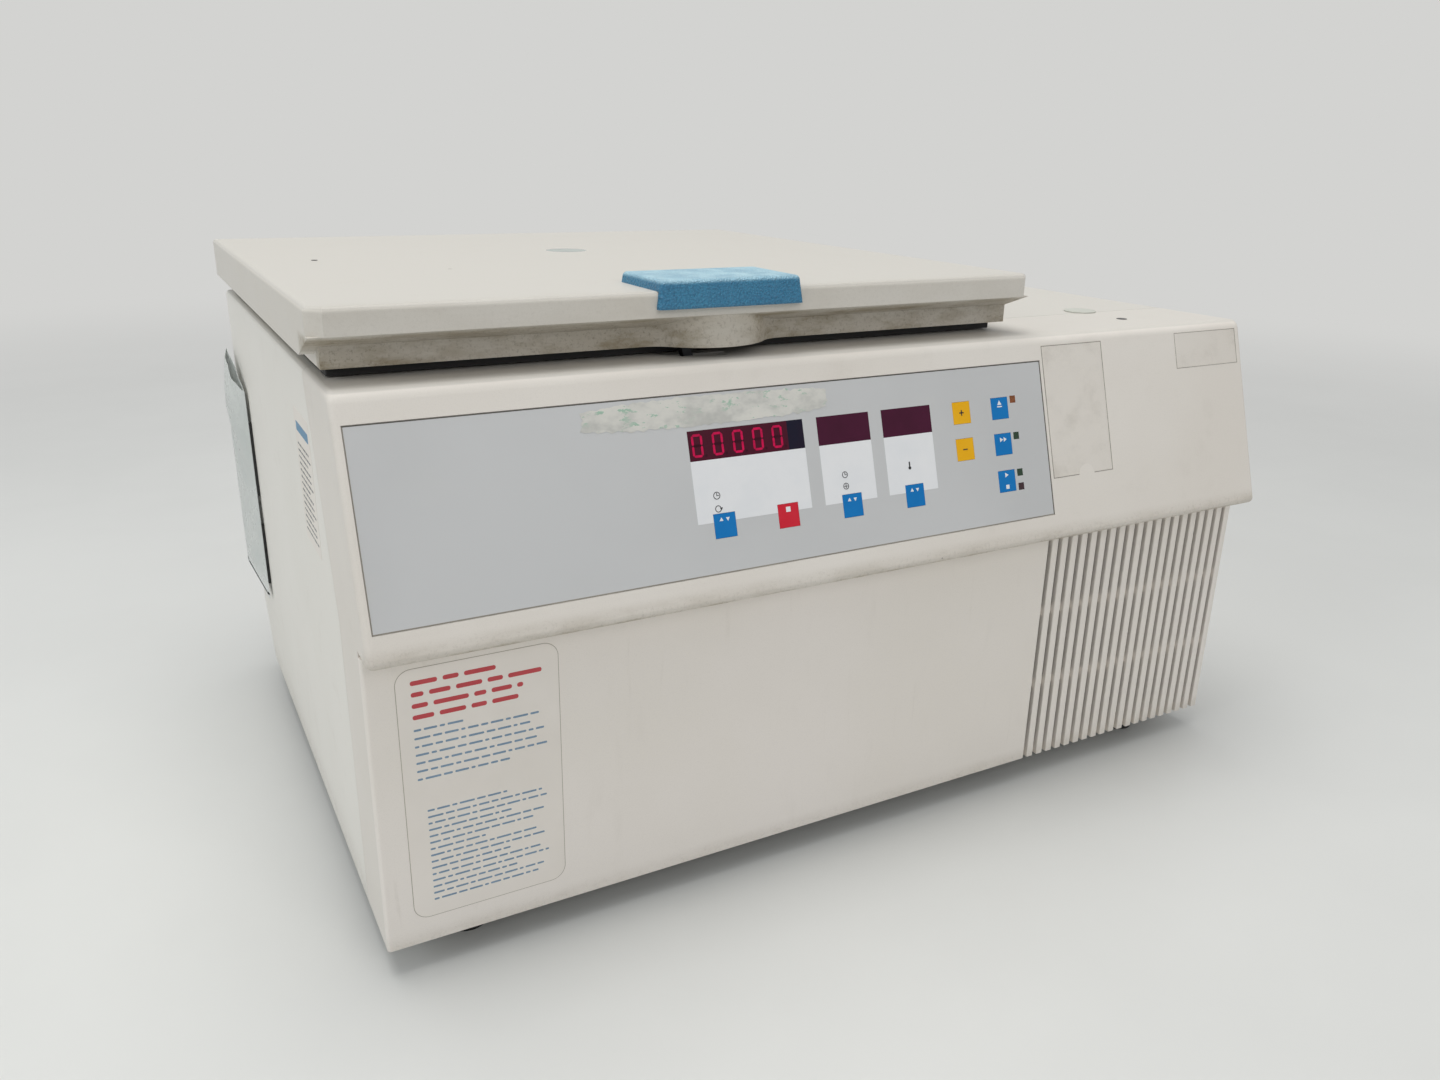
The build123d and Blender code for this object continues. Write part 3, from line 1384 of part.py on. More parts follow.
with BuildPart() as hinge_pins:
    for ear_x in hinge_places:
        with BuildSketch(side_plane.offset(ear_x - knuckle_out)):
            with Locations((hinge_y, hinge_height)):
                Circle(hinge_pin_radius)
        extrude(amount=2 * knuckle_out)
save(hinge_pins, "hinge_pins")

with BuildPart() as hinge_leaves:
    for ear_x in hinge_places:
        for side_x in (ear_x - knuckle_out, ear_x + knuckle_in):
            with BuildSketch(side_plane.offset(side_x)):
                with Locations((hinge_y, hinge_height)):
                    Circle(hinge_ear_radius)
                block(hinge_y - hinge_ear_radius, hinge_y + hinge_ear_radius / 2,
                      hinge_height, lid_ceiling)
                with Locations((hinge_y, hinge_height)):
                    Circle(hinge_pin_radius + running_fit, mode=Mode.SUBTRACT)
            extrude(amount=hinge_knuckle)
        with BuildSketch(Plane.XY.offset(lid_ceiling)):
            block(ear_x - knuckle_out, ear_x + knuckle_out,
                  hinge_y - hinge_leaf_reach, hinge_y + hinge_ear_radius / 2)
        extrude(amount=-hinge_leaf)
save(hinge_leaves, "hinge_leaves")

# ---------------------------------------------------------------- lid lock
lock_face = lock_y + lock_thickness / 2
lock_pivot_height = deck_height - lock_pivot_drop
striker_height = deck_height + striker_rise


def front_plane(y, x=0.0, z=0.0):
    """A plane facing the front at y, its origin at x and z; its y runs up."""
    return Plane(origin=(x, y, z), x_dir=(1, 0, 0), z_dir=(0, -1, 0))


with BuildPart() as lock_body:
    with BuildSketch(front_plane(lock_y + lock_body_depth / 2)):
        block(chamber_x - lock_body_left, chamber_x + lock_body_right,
              frame_under - lock_body_drop, frame_under)
    extrude(amount=lock_body_depth)
    with BuildSketch(front_plane(hook_slot_back)):
        block(chamber_x - hook_slot_left, chamber_x + hook_slot_right,
              lock_pivot_height - 2 * lock_disc_radius, frame_under)
    extrude(amount=hook_slot_back - hook_slot_front, mode=Mode.SUBTRACT)
    with BuildSketch(front_plane(hook_slot_back)):
        with Locations((chamber_x, lock_pivot_height)):
            Circle(lock_pin_radius)
    extrude(amount=hook_slot_back - hook_slot_front)
save(lock_body, "lock_body")

open_turn = radians(lock_open_angle)
hook_plane = Plane(origin=(chamber_x, lock_face, lock_pivot_height),
                   x_dir=(cos(open_turn), 0, sin(open_turn)), z_dir=(0, -1, 0))
strike = striker_height - lock_pivot_height
nose_bottom = strike + striker_radius + striker_gap

with BuildPart() as lock_hook:
    with BuildSketch(hook_plane):
        Circle(lock_disc_radius)
        Polygon((-lock_arm_near, 0), (-lock_arm_near, nose_bottom), (lock_nose, nose_bottom),
                (lock_nose - lock_pin_radius, nose_bottom + lock_nose_height),
                (-lock_arm_far, nose_bottom + lock_nose_height), (-lock_arm_far, strike / 2),
                (-lock_disc_radius, 0), align=None)
        Circle(lock_pin_radius + running_fit, mode=Mode.SUBTRACT)
    extrude(amount=lock_thickness)
save(lock_hook, "lock_hook")

cheek_gap = lock_thickness / 2 + 2 * lock_side_gap
cheek_far = cheek_gap + striker_cheek

with BuildPart() as lid_striker:
    for y in (lock_y - cheek_gap, lock_y + cheek_far):
        with BuildSketch(front_plane(y)):
            block(chamber_x - striker_cheek_width / 2, chamber_x + striker_cheek_width / 2,
                  striker_height - striker_cheek, lid_ceiling)
        extrude(amount=striker_cheek)
    with BuildSketch(Plane.XY.offset(lid_ceiling)):
        block(chamber_x - striker_cheek_width, chamber_x + striker_cheek_width,
              lock_y - cheek_far, lock_y + cheek_far)
    extrude(amount=-striker_plate)
    with BuildSketch(front_plane(lock_y + cheek_far)):
        with Locations((chamber_x, striker_height)):
            Circle(striker_radius)
    extrude(amount=2 * cheek_far)
save(lid_striker, "lid_striker")

# ---------------------------------------------------------------- document pocket
pocket_y0 = back - pocket_from_back
pocket_y1 = pocket_y0 + pocket_length
pocket_top = deck_height - pocket_drop
pocket_height = pocket_top - pocket_bottom
inner_bulge = pocket_bulge - pocket_sheet

with BuildPart() as document_pocket:
    with BuildSketch(Plane.XY.offset(pocket_bottom)):
        with BuildLine():
            ThreePointArc((left, pocket_y0), (left - pocket_bulge, (pocket_y0 + pocket_y1) / 2),
                          (left, pocket_y1))
            Line((left, pocket_y1), (left, pocket_y0))
        make_face()
    extrude(amount=pocket_height)
    with BuildSketch(Plane.XY.offset(pocket_bottom + pocket_sheet)):
        with BuildLine():
            ThreePointArc((left, pocket_y0 + 2 * pocket_sheet),
                          (left - inner_bulge, (pocket_y0 + pocket_y1) / 2),
                          (left, pocket_y1 - 2 * pocket_sheet))
            Line((left, pocket_y1 - 2 * pocket_sheet), (left, pocket_y0 + 2 * pocket_sheet))
        make_face()
    extrude(amount=pocket_height, mode=Mode.SUBTRACT)
    with BuildSketch(side_plane.offset(left)):
        block(pocket_y0 - pocket_flange, pocket_y0 + pocket_sheet, pocket_bottom, pocket_top)
        block(pocket_y1 - pocket_sheet, pocket_y1 + pocket_flange / 2, pocket_bottom, pocket_top)
    extrude(amount=-pocket_sheet)
    # the mouth falls away towards the front
    with BuildSketch(side_plane.offset(left)):
        Polygon((pocket_y0 - pocket_flange, pocket_top - pocket_slope), (pocket_y1, pocket_top),
                (pocket_y1, pocket_top + pocket_slope),
                (pocket_y0 - pocket_flange, pocket_top + pocket_slope), align=None)
    extrude(amount=-pocket_bulge, mode=Mode.SUBTRACT)
save(document_pocket, "document_pocket")
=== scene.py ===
from contextlib import contextmanager
from math import cos, pi, radians, sin

import bpy
from mathutils import Matrix, Vector, noise


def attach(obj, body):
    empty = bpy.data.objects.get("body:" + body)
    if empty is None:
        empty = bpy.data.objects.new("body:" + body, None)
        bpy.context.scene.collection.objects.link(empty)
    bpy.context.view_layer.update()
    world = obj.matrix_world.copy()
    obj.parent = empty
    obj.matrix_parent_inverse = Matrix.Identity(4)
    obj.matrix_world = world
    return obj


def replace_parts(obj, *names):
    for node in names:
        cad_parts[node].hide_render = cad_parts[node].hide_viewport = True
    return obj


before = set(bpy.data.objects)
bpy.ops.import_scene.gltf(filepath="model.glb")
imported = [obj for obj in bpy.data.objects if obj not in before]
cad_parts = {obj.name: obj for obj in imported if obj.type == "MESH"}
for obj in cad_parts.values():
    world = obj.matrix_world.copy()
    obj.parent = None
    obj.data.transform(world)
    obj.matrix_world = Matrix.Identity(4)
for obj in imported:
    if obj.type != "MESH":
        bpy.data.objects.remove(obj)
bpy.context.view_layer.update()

# ---------------------------------------------------------------- places, metres
MM = 0.001
LEFT, FRONT, BACK = -0.338, -0.2535, 0.2535
BODY_FOOT = 0.02           # lower edge of the housing
DECK = 0.3485
LID_TOP = 0.390
LID_UNDERSIDE = 0.355      # the liner's lower face
GRIP_FOOT, GRIP_TOP = 0.380, 0.3965
LIP = 0.2095               # lower lip of the front housing
REAR_INSET = 6 * MM        # the rear panel's outer face lies in from the back
TILT = radians(17.07)
FACE_TOP_Y = -0.21223      # virtual top corner of the control face
PANEL_Y = FRONT + 20 * MM
FOIL_LIFT = -0.3 * MM      # foil surface below the face
CHAMBER = Vector((-0.101, 0.0365, 0))
CARRIER_Y = {"front": -0.0515, "rear": 0.1245}
HAIR = 0.05 * MM           # thickness of printed ink
SLEEVE_BOX = [tuple(corner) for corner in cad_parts["document_pocket"].bound_box]
SLEEVE_FRONT, SLEEVE_REAR = (pick(corner[1] for corner in SLEEVE_BOX) for pick in (min, max))
SLEEVE_FOOT, SLEEVE_MOUTH = (pick(corner[2] for corner in SLEEVE_BOX) for pick in (min, max))


def working_frame(origin, across, up):
    """The matrix of a flat place to work on: x across, y up, z out of the surface."""
    across, up = Vector(across), Vector(up)
    matrix = Matrix((across, up, across.cross(up))).transposed().to_4x4()
    matrix.translation = origin
    return matrix


FACE = working_frame((LEFT, FACE_TOP_Y, DECK), (1, 0, 0), (0, sin(TILT), cos(TILT)))
PANEL = working_frame((LEFT, PANEL_Y, 0), (1, 0, 0), (0, 0, 1))
SIDE = working_frame((LEFT, 0, 0), (0, -1, 0), (0, 0, 1))
REAR = working_frame((0, BACK - REAR_INSET, 0), (-1, 0, 0), (0, 0, 1))
DECK_TOP = working_frame((0, 0, DECK), (1, 0, 0), (0, 1, 0))
LID_FACE = working_frame((0, 0, LID_TOP), (1, 0, 0), (0, 1, 0))
LID_UNDER = working_frame((0, 0, LID_UNDERSIDE), (1, 0, 0), (0, -1, 0))


# ---------------------------------------------------------------- shader arithmetic
def linear(hexed, alpha=1.0):
    """A colour written as it should look, turned into the shader's linear light."""
    parts = [int(hexed[i:i + 2], 16) / 255 for i in (0, 2, 4)]
    return tuple(p / 12.92 if p <= 0.04045 else ((p + 0.055) / 1.055) ** 2.4 for p in parts) + (alpha,)


class Wire:
    """A socket in a finish; arithmetic on it adds the nodes that do it."""

    def __init__(self, finish, socket):
        self.finish = finish
        self.socket = socket

    def math(self, operation, *values):
        return self.finish.node("ShaderNodeMath", {"operation": operation}, values)

    def __add__(self, other):
        return self.math("ADD", self, other)

    def __rsub__(self, other):
        return self.math("SUBTRACT", other, self)

    def __mul__(self, other):
        return self.math("MULTIPLY", self, other)

    def __gt__(self, other):
        return self.math("GREATER_THAN", self, other)

    def __lt__(self, other):
        return self.math("LESS_THAN", self, other)

    __radd__ = __add__
    __rmul__ = __mul__

    def most(self, other):
        return self.math("MAXIMUM", self, other)

    def between(self, low, high):
        """0 at low and 1 at high, smooth in between."""
        return self.finish.node("ShaderNodeMapRange", {"interpolation_type": "SMOOTHSTEP"}, {
            "Value": self, "From Min": low, "From Max": high})

    def band(self, low, full, fading, gone):
        """0 below low, 1 from full to fading, and 0 again above gone."""
        return self.between(low, full) * (1 - self.between(fading, gone))


class Finish:
    """One material: its nodes, and the object-space place that its patterns read."""

    def __init__(self, name, **constants):
        self.material = bpy.data.materials.new(name)
        self.material.use_nodes = True
        self.tree = self.material.node_tree
        self.shader = self.tree.nodes["Principled BSDF"]
        for socket, value in constants.items():
            self.shader.inputs[socket.replace("_", " ")].default_value = value
        self.place = self.node("ShaderNodeTexCoord", output="Object")
        split = self.node("ShaderNodeSeparateXYZ", {}, [self.place])
        self.x, self.y, self.z = (Wire(self, split.socket.node.outputs[i]) for i in range(3))

    def node(self, kind, settings=None, values=(), output=0):
        """Any node: its settings first, then the values or wires of its sockets."""
        made = self.tree.nodes.new(kind)
        for key, value in (settings or {}).items():
            setattr(made, key, value)
        named = values.items() if isinstance(values, dict) else enumerate(values)
        for key, value in named:
            if isinstance(value, Wire):
                self.tree.links.new(value.socket, made.inputs[key])
            else:
                made.inputs[key].default_value = value
        return Wire(self, made.outputs[output])

    def feed(self, socket, wire):
        self.tree.links.new(wire.socket, self.shader.inputs[socket])

    def noise(self, scale, detail=2.0, roughness=0.5, stretch=None, offset=0.0):
        """Noise from 0 to 1; stretch scales the pattern along x, y and z."""
        where = self.place
        if stretch or offset:
            where = self.node("ShaderNodeMapping", {}, {
                "Vector": self.place, "Location": (offset, offset, offset), "Scale": stretch or (1, 1, 1)})
        return self.node("ShaderNodeTexNoise", {}, {
            "Vector": where, "Scale": scale, "Detail": detail, "Roughness": roughness})

    def mix(self, factor, first, second):
        """The first colour where factor is 0, the second where it is 1."""
        colours = {0: factor, 6: first, 7: second}
        return self.node("ShaderNodeMix", {"data_type": "RGBA"}, colours, output=2)

    def bump(self, height, strength, distance):
        return self.node("ShaderNodeBump", {}, {
            "Height": height, "Strength": strength, "Distance": distance})


# ---------------------------------------------------------------- finishes
def specks(finish, scale, size, offset):
    """Sparse small dots: 1 inside a dot."""
    where = finish.node("ShaderNodeMapping", {}, {
        "Vector": finish.place, "Location": (offset, offset, offset)})
    cells = finish.node("ShaderNodeTexVoronoi", {"feature": "F1"}, {"Vector": where, "Scale": scale})
    return cells < size


def structured_paint(name, tint, soil_and_shade, streak=(1, 1, 1), top_shade=None):
    """Moulded housing with a fine pebbled paint; its third argument, a function of the finish, says where
    grime gathers, and on the lid's skirt also where shade is painted.
    The last argument is a darker colour painted on its level top as painted shade, and the height where that
    begins."""
    f = Finish(name, Specular_IOR_Level=0.4)
    broad = f.noise(5, 3, 0.55)
    cloth = f.noise(38, 4, 0.6, streak, 3.1)
    grain = f.noise(1500, 2, 0.6)
    pebbles = f.noise(700, 2, 0.5)
    colour = f.mix(broad.between(0.3, 0.7), linear(tint[0]), linear(tint[1]))
    # painted shade: the level top is given a darker colour than the sides
    if top_shade:
        colour = f.mix(f.z.between(top_shade[1] - 0.7 * MM, top_shade[1]), colour, linear(top_shade[0]))
    colour = f.mix(cloth.between(0.55, 0.8) * 0.12, colour, linear("BDB6AA"))
    smears = f.noise(70, 5, 0.7, (0.35, 1, 1), 1.7).between(0.42, 0.68)
    # grime, and on the lid's skirt painted shade as well, darkens the paint towards 938770
    dirt_and_shade = soil_and_shade(f)
    colour = f.mix(dirt_and_shade * (smears * 0.5 + 0.5), colour, linear("938770"))
    grit = f.noise(430, 3, 0.8).between(0.5, 0.68)
    sand = grain.between(0.5, 0.72) * 0.05 + grit * dirt_and_shade * 0.5
    colour = f.mix(sand, colour, linear("776C5C"))
    marks = specks(f, 17, 0.024, 0.37) * f.noise(9, 1).between(0.53, 0.56)
    colour = f.mix(marks * 0.55, colour, linear("5A5147"))
    f.feed("Base Color", colour)
    f.feed("Roughness", 0.4 + grain * 0.1 + dirt_and_shade * 0.18)
    f.feed("Normal", f.bump(pebbles * 0.6 + grain * 0.4, 0.22, 0.2 * MM))
    return f.material


def lip_soil(f):
    """Grime on the lip of the front housing, darkest along its edge."""
    front = 1 - f.y.between(FRONT + 7 * MM, FRONT + 12 * MM)
    nose = f.z.band(LIP - 6.5 * MM, LIP - 2.5 * MM, LIP + 4 * MM, LIP + 13.5 * MM) * front
    edge = f.z.band(LIP - 4 * MM, LIP - 1.5 * MM, LIP + MM, LIP + 3 * MM) * front
    return (nose * 0.34 + edge * 0.55 * f.noise(24, 3).between(0.35, 0.6)).most(
        f.noise(12, 4, 0.6).between(0.62, 0.8) * 0.1)


LID_RIM_Y = (-0.2035, -0.190)      # the lid's front rim fades into its top
SKIRT_Y = (-0.178, -0.170)         # the front run of its skirt
SKIRT_Z = (0.372, 0.3765)          # and the skirt's upper edge


def lid_grime_and_shade(f):
    """Grime along the lid's front rim; the front of its skirt is darkened much more, with grime and with
    painted shade, as it lies in shadow under the rim.
    """
    band = 1 - f.y.between(*LID_RIM_Y)
    skirt = (1 - f.z.between(*SKIRT_Z)) * (1 - f.y.between(*SKIRT_Y))
    under = f.noise(30, 4, 0.65, (0.4, 1, 1), 2.2).between(0.35, 0.65)
    return (band * 0.12).most(skirt * (0.6 + under * 0.35)).most(
        f.noise(9, 4, 0.6).between(0.64, 0.85) * 0.08)


def body_patches_and_dark_foot(f):
    """Faint patches, and a darker foot."""
    low = 1 - f.z.between(BODY_FOOT, BODY_FOOT + 30 * MM)
    return (low * 0.2).most(f.noise(8, 4, 0.6).between(0.62, 0.85) * 0.1)


def panel_scuffs_and_dark_foot(f):
    """Upright scuffs, and a darker foot."""
    low = 1 - f.z.between(BODY_FOOT, BODY_FOOT + 12 * MM)
    scuffs = f.noise(30, 3, 0.6, (3.0, 1, 0.25), 5.2).between(0.62, 0.74)
    return (low * 0.25).most(scuffs * 0.09)


def grained_grip(name):
    """Blue moulded grip with a leather-like pebble grain."""
    f = Finish(name, Specular_IOR_Level=0.6)
    cells = f.node("ShaderNodeTexVoronoi", {"feature": "SMOOTH_F1"}, {
        "Vector": f.place, "Scale": 760.0, "Smoothness": 0.4})
    pebble = f.noise(950, 2, 0.6)
    broad = f.noise(30, 3)
    # the top edge is lighter: partly wear, partly a painted sheen standing for the gloss the top catches
    top = f.z.between(GRIP_TOP - 3 * MM, GRIP_TOP - 0.3 * MM)
    worn = top * (0.6 + f.noise(60, 4, 0.65).between(0.35, 0.7) * 0.4)
    colour = f.mix(broad.between(0.35, 0.7), linear("2A7BA2"), linear("3789AE"))
    valleys = cells.between(0.3, 0.75) * 0.4 + pebble.between(0.45, 0.7) * 0.25
    colour = f.mix(valleys * (1 - top * 0.6), colour, linear("16567C"))
    colour = f.mix(worn * 0.95, colour, linear("AED3E0"))
    # painted shade: the grip darkens at its foot, where it meets the lid
    foot = 1 - f.z.between(GRIP_FOOT - 0.5 * MM, GRIP_FOOT + 2.5 * MM)
    colour = f.mix(foot * 0.5, colour, linear("2B5D78"))
    f.feed("Base Color", colour)
    f.feed("Roughness", 0.34 + f.noise(90, 3) * 0.14)
    f.feed("Normal", f.bump(cells + pebble * 0.6, 1.0, 0.8 * MM))
    return f.material


def membrane(name):
    """Printed polyester foil, satin, with faint wiping marks."""
    f = Finish(name, Specular_IOR_Level=0.42)
    broad = f.noise(7, 3)
    wiping = f.noise(26, 4, 0.6, (0.5, 1, 1), 2.0)
    colour = f.mix(broad.between(0.3, 0.7), linear("C3C4C5"), linear("C9CACB"))
    colour = f.mix(wiping.between(0.55, 0.8) * 0.2, colour, linear("D0CFC9"))
    dots = specks(f, 60, 0.03, 0.11) * f.noise(20, 1).between(0.55, 0.62)
    colour = f.mix(dots * 0.5, colour, linear("77797A"))
    f.feed("Base Color", colour)
    f.feed("Roughness", 0.34 + wiping * 0.14)
    f.feed("Normal", f.bump(f.noise(1500, 1), 0.06, 0.1 * MM))
    return f.material


SPEED_BLANK = LEFT + 267 * MM      # from here the speed window is blank
SPEED_END = LEFT + 280 * MM        # between the speed window and the next


def red_window(name):
    """Dark red display filter; the speed window's right end is blank and almost black."""
    f = Finish(name, Specular_IOR_Level=0.16)
    first = f.x < SPEED_END
    blank = f.x.between(SPEED_BLANK - 0.2 * MM, SPEED_BLANK + 0.2 * MM) * first
    colour = f.mix(first, linear("481330"), linear("4C0C25"))
    colour = f.mix(blank, colour, linear("12142A"))
    glow = f.noise(60, 2).between(0.3, 0.7)
    colour = f.mix(glow * 0.25, colour, linear("2F0A1C"))
    f.feed("Base Color", colour)
    f.feed("Roughness", 0.2 + f.noise(40, 3) * 0.1)
    return f.material


def lit_segment(name, colour, strength):
    """A display segment that glows a little."""
    f = Finish(name, Roughness=0.4, Specular_IOR_Level=0.1, Emission_Strength=strength)
    body = f.mix(f.noise(300, 1).between(0.3, 0.7), linear(colour), linear("A81040"))
    f.feed("Base Color", body)
    f.feed("Emission Color", body)
    return f.material


def printed(name, colour, second=None, gloss=0.35, scale=40, shine=0.5):
    """Ink, film or moulded plastic of one colour, a little uneven."""
    f = Finish(name, Specular_IOR_Level=shine)
    uneven = f.noise(scale, 3, 0.6)
    tint = f.mix(uneven.between(0.3, 0.75), linear(colour), linear(second or colour))
    f.feed("Base Color", tint)
    f.feed("Roughness", gloss + uneven * 0.1)
    f.feed("Normal", f.bump(f.noise(900, 1), 0.05, 0.1 * MM))
    return f.material


AMBER_ABOVE, RED_BELOW = 0.296, 0.2575     # heights between the status lights


def status_lens(name):
    """Four small lenses: amber, two green, one dark red, told apart by their height."""
    f = Finish(name, Roughness=0.25)
    colour = f.mix(f.z > AMBER_ABOVE, linear("16391F"), linear("8A4B1E"))
    colour = f.mix(f.z < RED_BELOW, colour, linear("36101E"))
    colour = f.mix(f.noise(700, 1).between(0.4, 0.6) * 0.3, colour, linear("0C0C0C"))
    f.feed("Base Color", colour)
    f.feed("Roughness", 0.2 + f.noise(200, 2) * 0.1)
    return f.material


def brushed(name, tint, rough=0.3, stretch=(1, 60, 60), centre=None, metallic=1.0):
    """Metal with fine scratches along its working direction, or round a centre."""
    f = Finish(name, Metallic=metallic)
    where = f.place
    if centre:
        moved = f.node("ShaderNodeVectorMath", {"operation": "SUBTRACT"}, [f.place, tuple(centre)])
        flat = f.node("ShaderNodeVectorMath", {"operation": "MULTIPLY"}, [moved, (1, 1, 0)])
        reach = f.node("ShaderNodeVectorMath", {"operation": "LENGTH"}, [flat], "Value")
        where = f.node("ShaderNodeCombineXYZ", {}, [reach * 60, f.z * 60, 0.0])
    else:
        where = f.node("ShaderNodeMapping", {}, {"Vector": f.place, "Scale": stretch})
    lines = f.node("ShaderNodeTexNoise", {}, {
        "Vector": where, "Scale": 22.0, "Detail": 4.0, "Roughness": 0.7})
    broad = f.noise(14, 3)
    colour = f.mix(lines.between(0.3, 0.7), linear(tint[0]), linear(tint[1]))
    colour = f.mix(broad.between(0.5, 0.8) * 0.25, colour, linear("8F8E8A"))
    f.feed("Base Color", colour)
    f.feed("Roughness", rough + lines * 0.16 + broad * 0.06)
    f.feed("Normal", f.bump(lines, 0.12, 0.1 * MM))
    return f.material


def sheet_paint(name, tint, rough=0.5):
    """Powder-coated or enamelled sheet metal with orange peel and dust."""
    f = Finish(name)
    peel = f.noise(700, 2)
    broad = f.noise(10, 4, 0.6)
    colour = f.mix(broad.between(0.35, 0.75), linear(tint[0]), linear(tint[1]))
    colour = f.mix(f.noise(45, 5, 0.7).between(0.6, 0.8) * 0.2, colour, linear("9C958A"))
    f.feed("Base Color", colour)
    f.feed("Roughness", rough + peel * 0.15)
    f.feed("Normal", f.bump(peel, 0.25, 0.15 * MM))
    return f.material


def rubbery(name):
    """Black rubber with a film of dust."""
    f = Finish(name)
    dust = f.noise(35, 5, 0.7).between(0.5, 0.8)
    f.feed("Base Color", f.mix(dust * 0.35, linear("1B1B1C"), linear("4A4742")))
    f.feed("Roughness", 0.62 + dust * 0.2)
    f.feed("Normal", f.bump(f.noise(800, 2), 0.3, 0.15 * MM))
    return f.material


def foam_block(name):
    """Yellowish insulation with open cells."""
    f = Finish(name, Roughness=0.9)
    cells = f.node("ShaderNodeTexVoronoi", {}, {"Vector": f.place, "Scale": 320.0})
    f.feed("Base Color", f.mix(cells, linear("D9C98C"), linear("B79F5E")))
    f.feed("Normal", f.bump(cells, 0.6, 0.5 * MM))
    return f.material


def green_board(name):
    """Circuit board with paler tracks."""
    f = Finish(name)
    tracks = f.node("ShaderNodeTexBrick", {"offset": 0.3}, {
        "Vector": f.place, "Scale": 180.0, "Mortar Size": 0.03,
        "Color1": linear("0F4A2A"), "Color2": linear("124F2E"), "Mortar": linear("3C8455")})
    f.feed("Base Color", tracks)
    f.feed("Roughness", 0.3 + f.noise(120, 2) * 0.15)
    return f.material


def clear_sheet(name, tint, alpha, rough, edge=None):
    """Clear film or sheet; edge(finish) raises the opacity where light gathers."""
    f = Finish(name, Specular_IOR_Level=0.6)
    haze = f.noise(45, 4, 0.6)
    colour = f.mix(haze.between(0.4, 0.75), linear(tint[0]), linear(tint[1]))
    f.feed("Base Color", colour)
    opacity = alpha + haze.between(0.45, 0.8) * 0.12
    if edge:
        opacity = opacity + edge(f)
    f.feed("Alpha", opacity)
    f.feed("Roughness", rough + haze * 0.12)
    f.feed("Normal", f.bump(f.noise(20, 2), 0.15, 1.0 * MM))
    return f.material


def sleeve_weld(f):
    """The sleeve's pressed seam along its front edge, and its foot, are less clear."""
    seam = 1 - f.y.between(SLEEVE_FRONT - 3 * MM, SLEEVE_FRONT + MM)
    foot = 1 - f.z.between(SLEEVE_FOOT + 8 * MM, SLEEVE_FOOT + 33 * MM)
    return seam * 0.25 + foot * 0.15


# The housing paint gets a slightly different tint on each part: partly painted light and shade, set so each
# part's tone under these lamps comes out as wanted.
PAINT = structured_paint("housing paint", ("EEEBE5", "EAE7E0"), body_patches_and_dark_foot, top_shade=("D0CDC6", DECK - MM))
FRONT_PAINT = structured_paint("front housing paint", ("E5E0D9", "E0DAD2"), lip_soil,
                               top_shade=("D3CFC8", DECK - MM))
LID_PAINT = structured_paint("lid paint", ("DAD6CF", "D7D2C9"), lid_grime_and_shade, top_shade=("CAC7C0", LID_TOP - MM))
PANEL_PAINT = structured_paint("lower panel paint", ("EFE9E3", "EBE5DD"), panel_scuffs_and_dark_foot, (1, 1, 0.3))
GRIP = grained_grip("blue grained grip")
FOIL = membrane("control foil")
STEEL = brushed("machined steel", ("9A9B9D", "B9BABC"), 0.28)
# the lock hook's steel is made dark as painted shade, so it shows as dark as the gap it stands in
DARK_STEEL = brushed("hook steel with painted shade", ("2E2F31", "3E3F42"), 0.4)
STAINLESS = brushed("spun stainless", ("B4B5B5", "CFD0D0"), 0.22, centre=CHAMBER)
LINER_STEEL = brushed("stainless liner", ("B8B9B9", "CDCECE"), 0.26)
ALUMINIUM = brushed("machined aluminium", ("A9ACAF", "C6C8CA"), 0.32, (40, 40, 2))
FINS = brushed("condenser fins", ("8E9193", "A5A7A9"), 0.4, (40, 2, 2))
COPPER = brushed("copper tube", ("9C5B38", "BC7A50"), 0.3)
GREY_PAINT = sheet_paint("grey sheet paint", ("A9A8A4", "B4B2AE"))
BLACK_PAINT = sheet_paint("black enamel", ("141415", "1D1D1E"), 0.35)
RUBBER = rubbery("black rubber")
FAN_BLACK = printed("fan plastic", "17181A", "222326", 0.4)
INLET_BLACK = printed("inlet plastic", "121214", "1B1B1E", 0.38)
KNOB_BLACK = printed("knob plastic", "151517", "232325", 0.3)
BOARD = green_board("circuit board")
WINDOW = red_window("display filter")
KEY_BLUE = printed("blue key", "0674BC", "0E7AC2", 0.34, shine=0.2)
KEY_RED = printed("red key", "CE1F33", "D42A3D", 0.34, shine=0.2)
KEY_YELLOW = printed("yellow key", "ECAF10", "F0B71E", 0.34, shine=0.2)
LENS = status_lens("status lens")
WHITE_INK = printed("white ink", "EBECEE", "E6E8EB", 0.36, shine=0.35)
BLACK_INK_AND_SHADE = printed("black ink and painted shade", "1C1C20", "26262A", 0.4)
SIGHT = printed("sight glass", "A9B2AC", "9AA49F", 0.16, 30)
POCKET = clear_sheet("sleeve sheet", ("E8ECE9", "D8DEDB"), 0.74, 0.22, edge=sleeve_weld)
FILM = clear_sheet("clear film", ("C9C3B8", "C0B9AD"), 0.05, 0.2)
FILM_EDGE = clear_sheet("film edge", ("B1ABA1", "8F887C"), 0.45, 0.3)
PAPER = printed("label paper", "EDE7E0", "E7E1D9", 0.42, 12, 0.35)

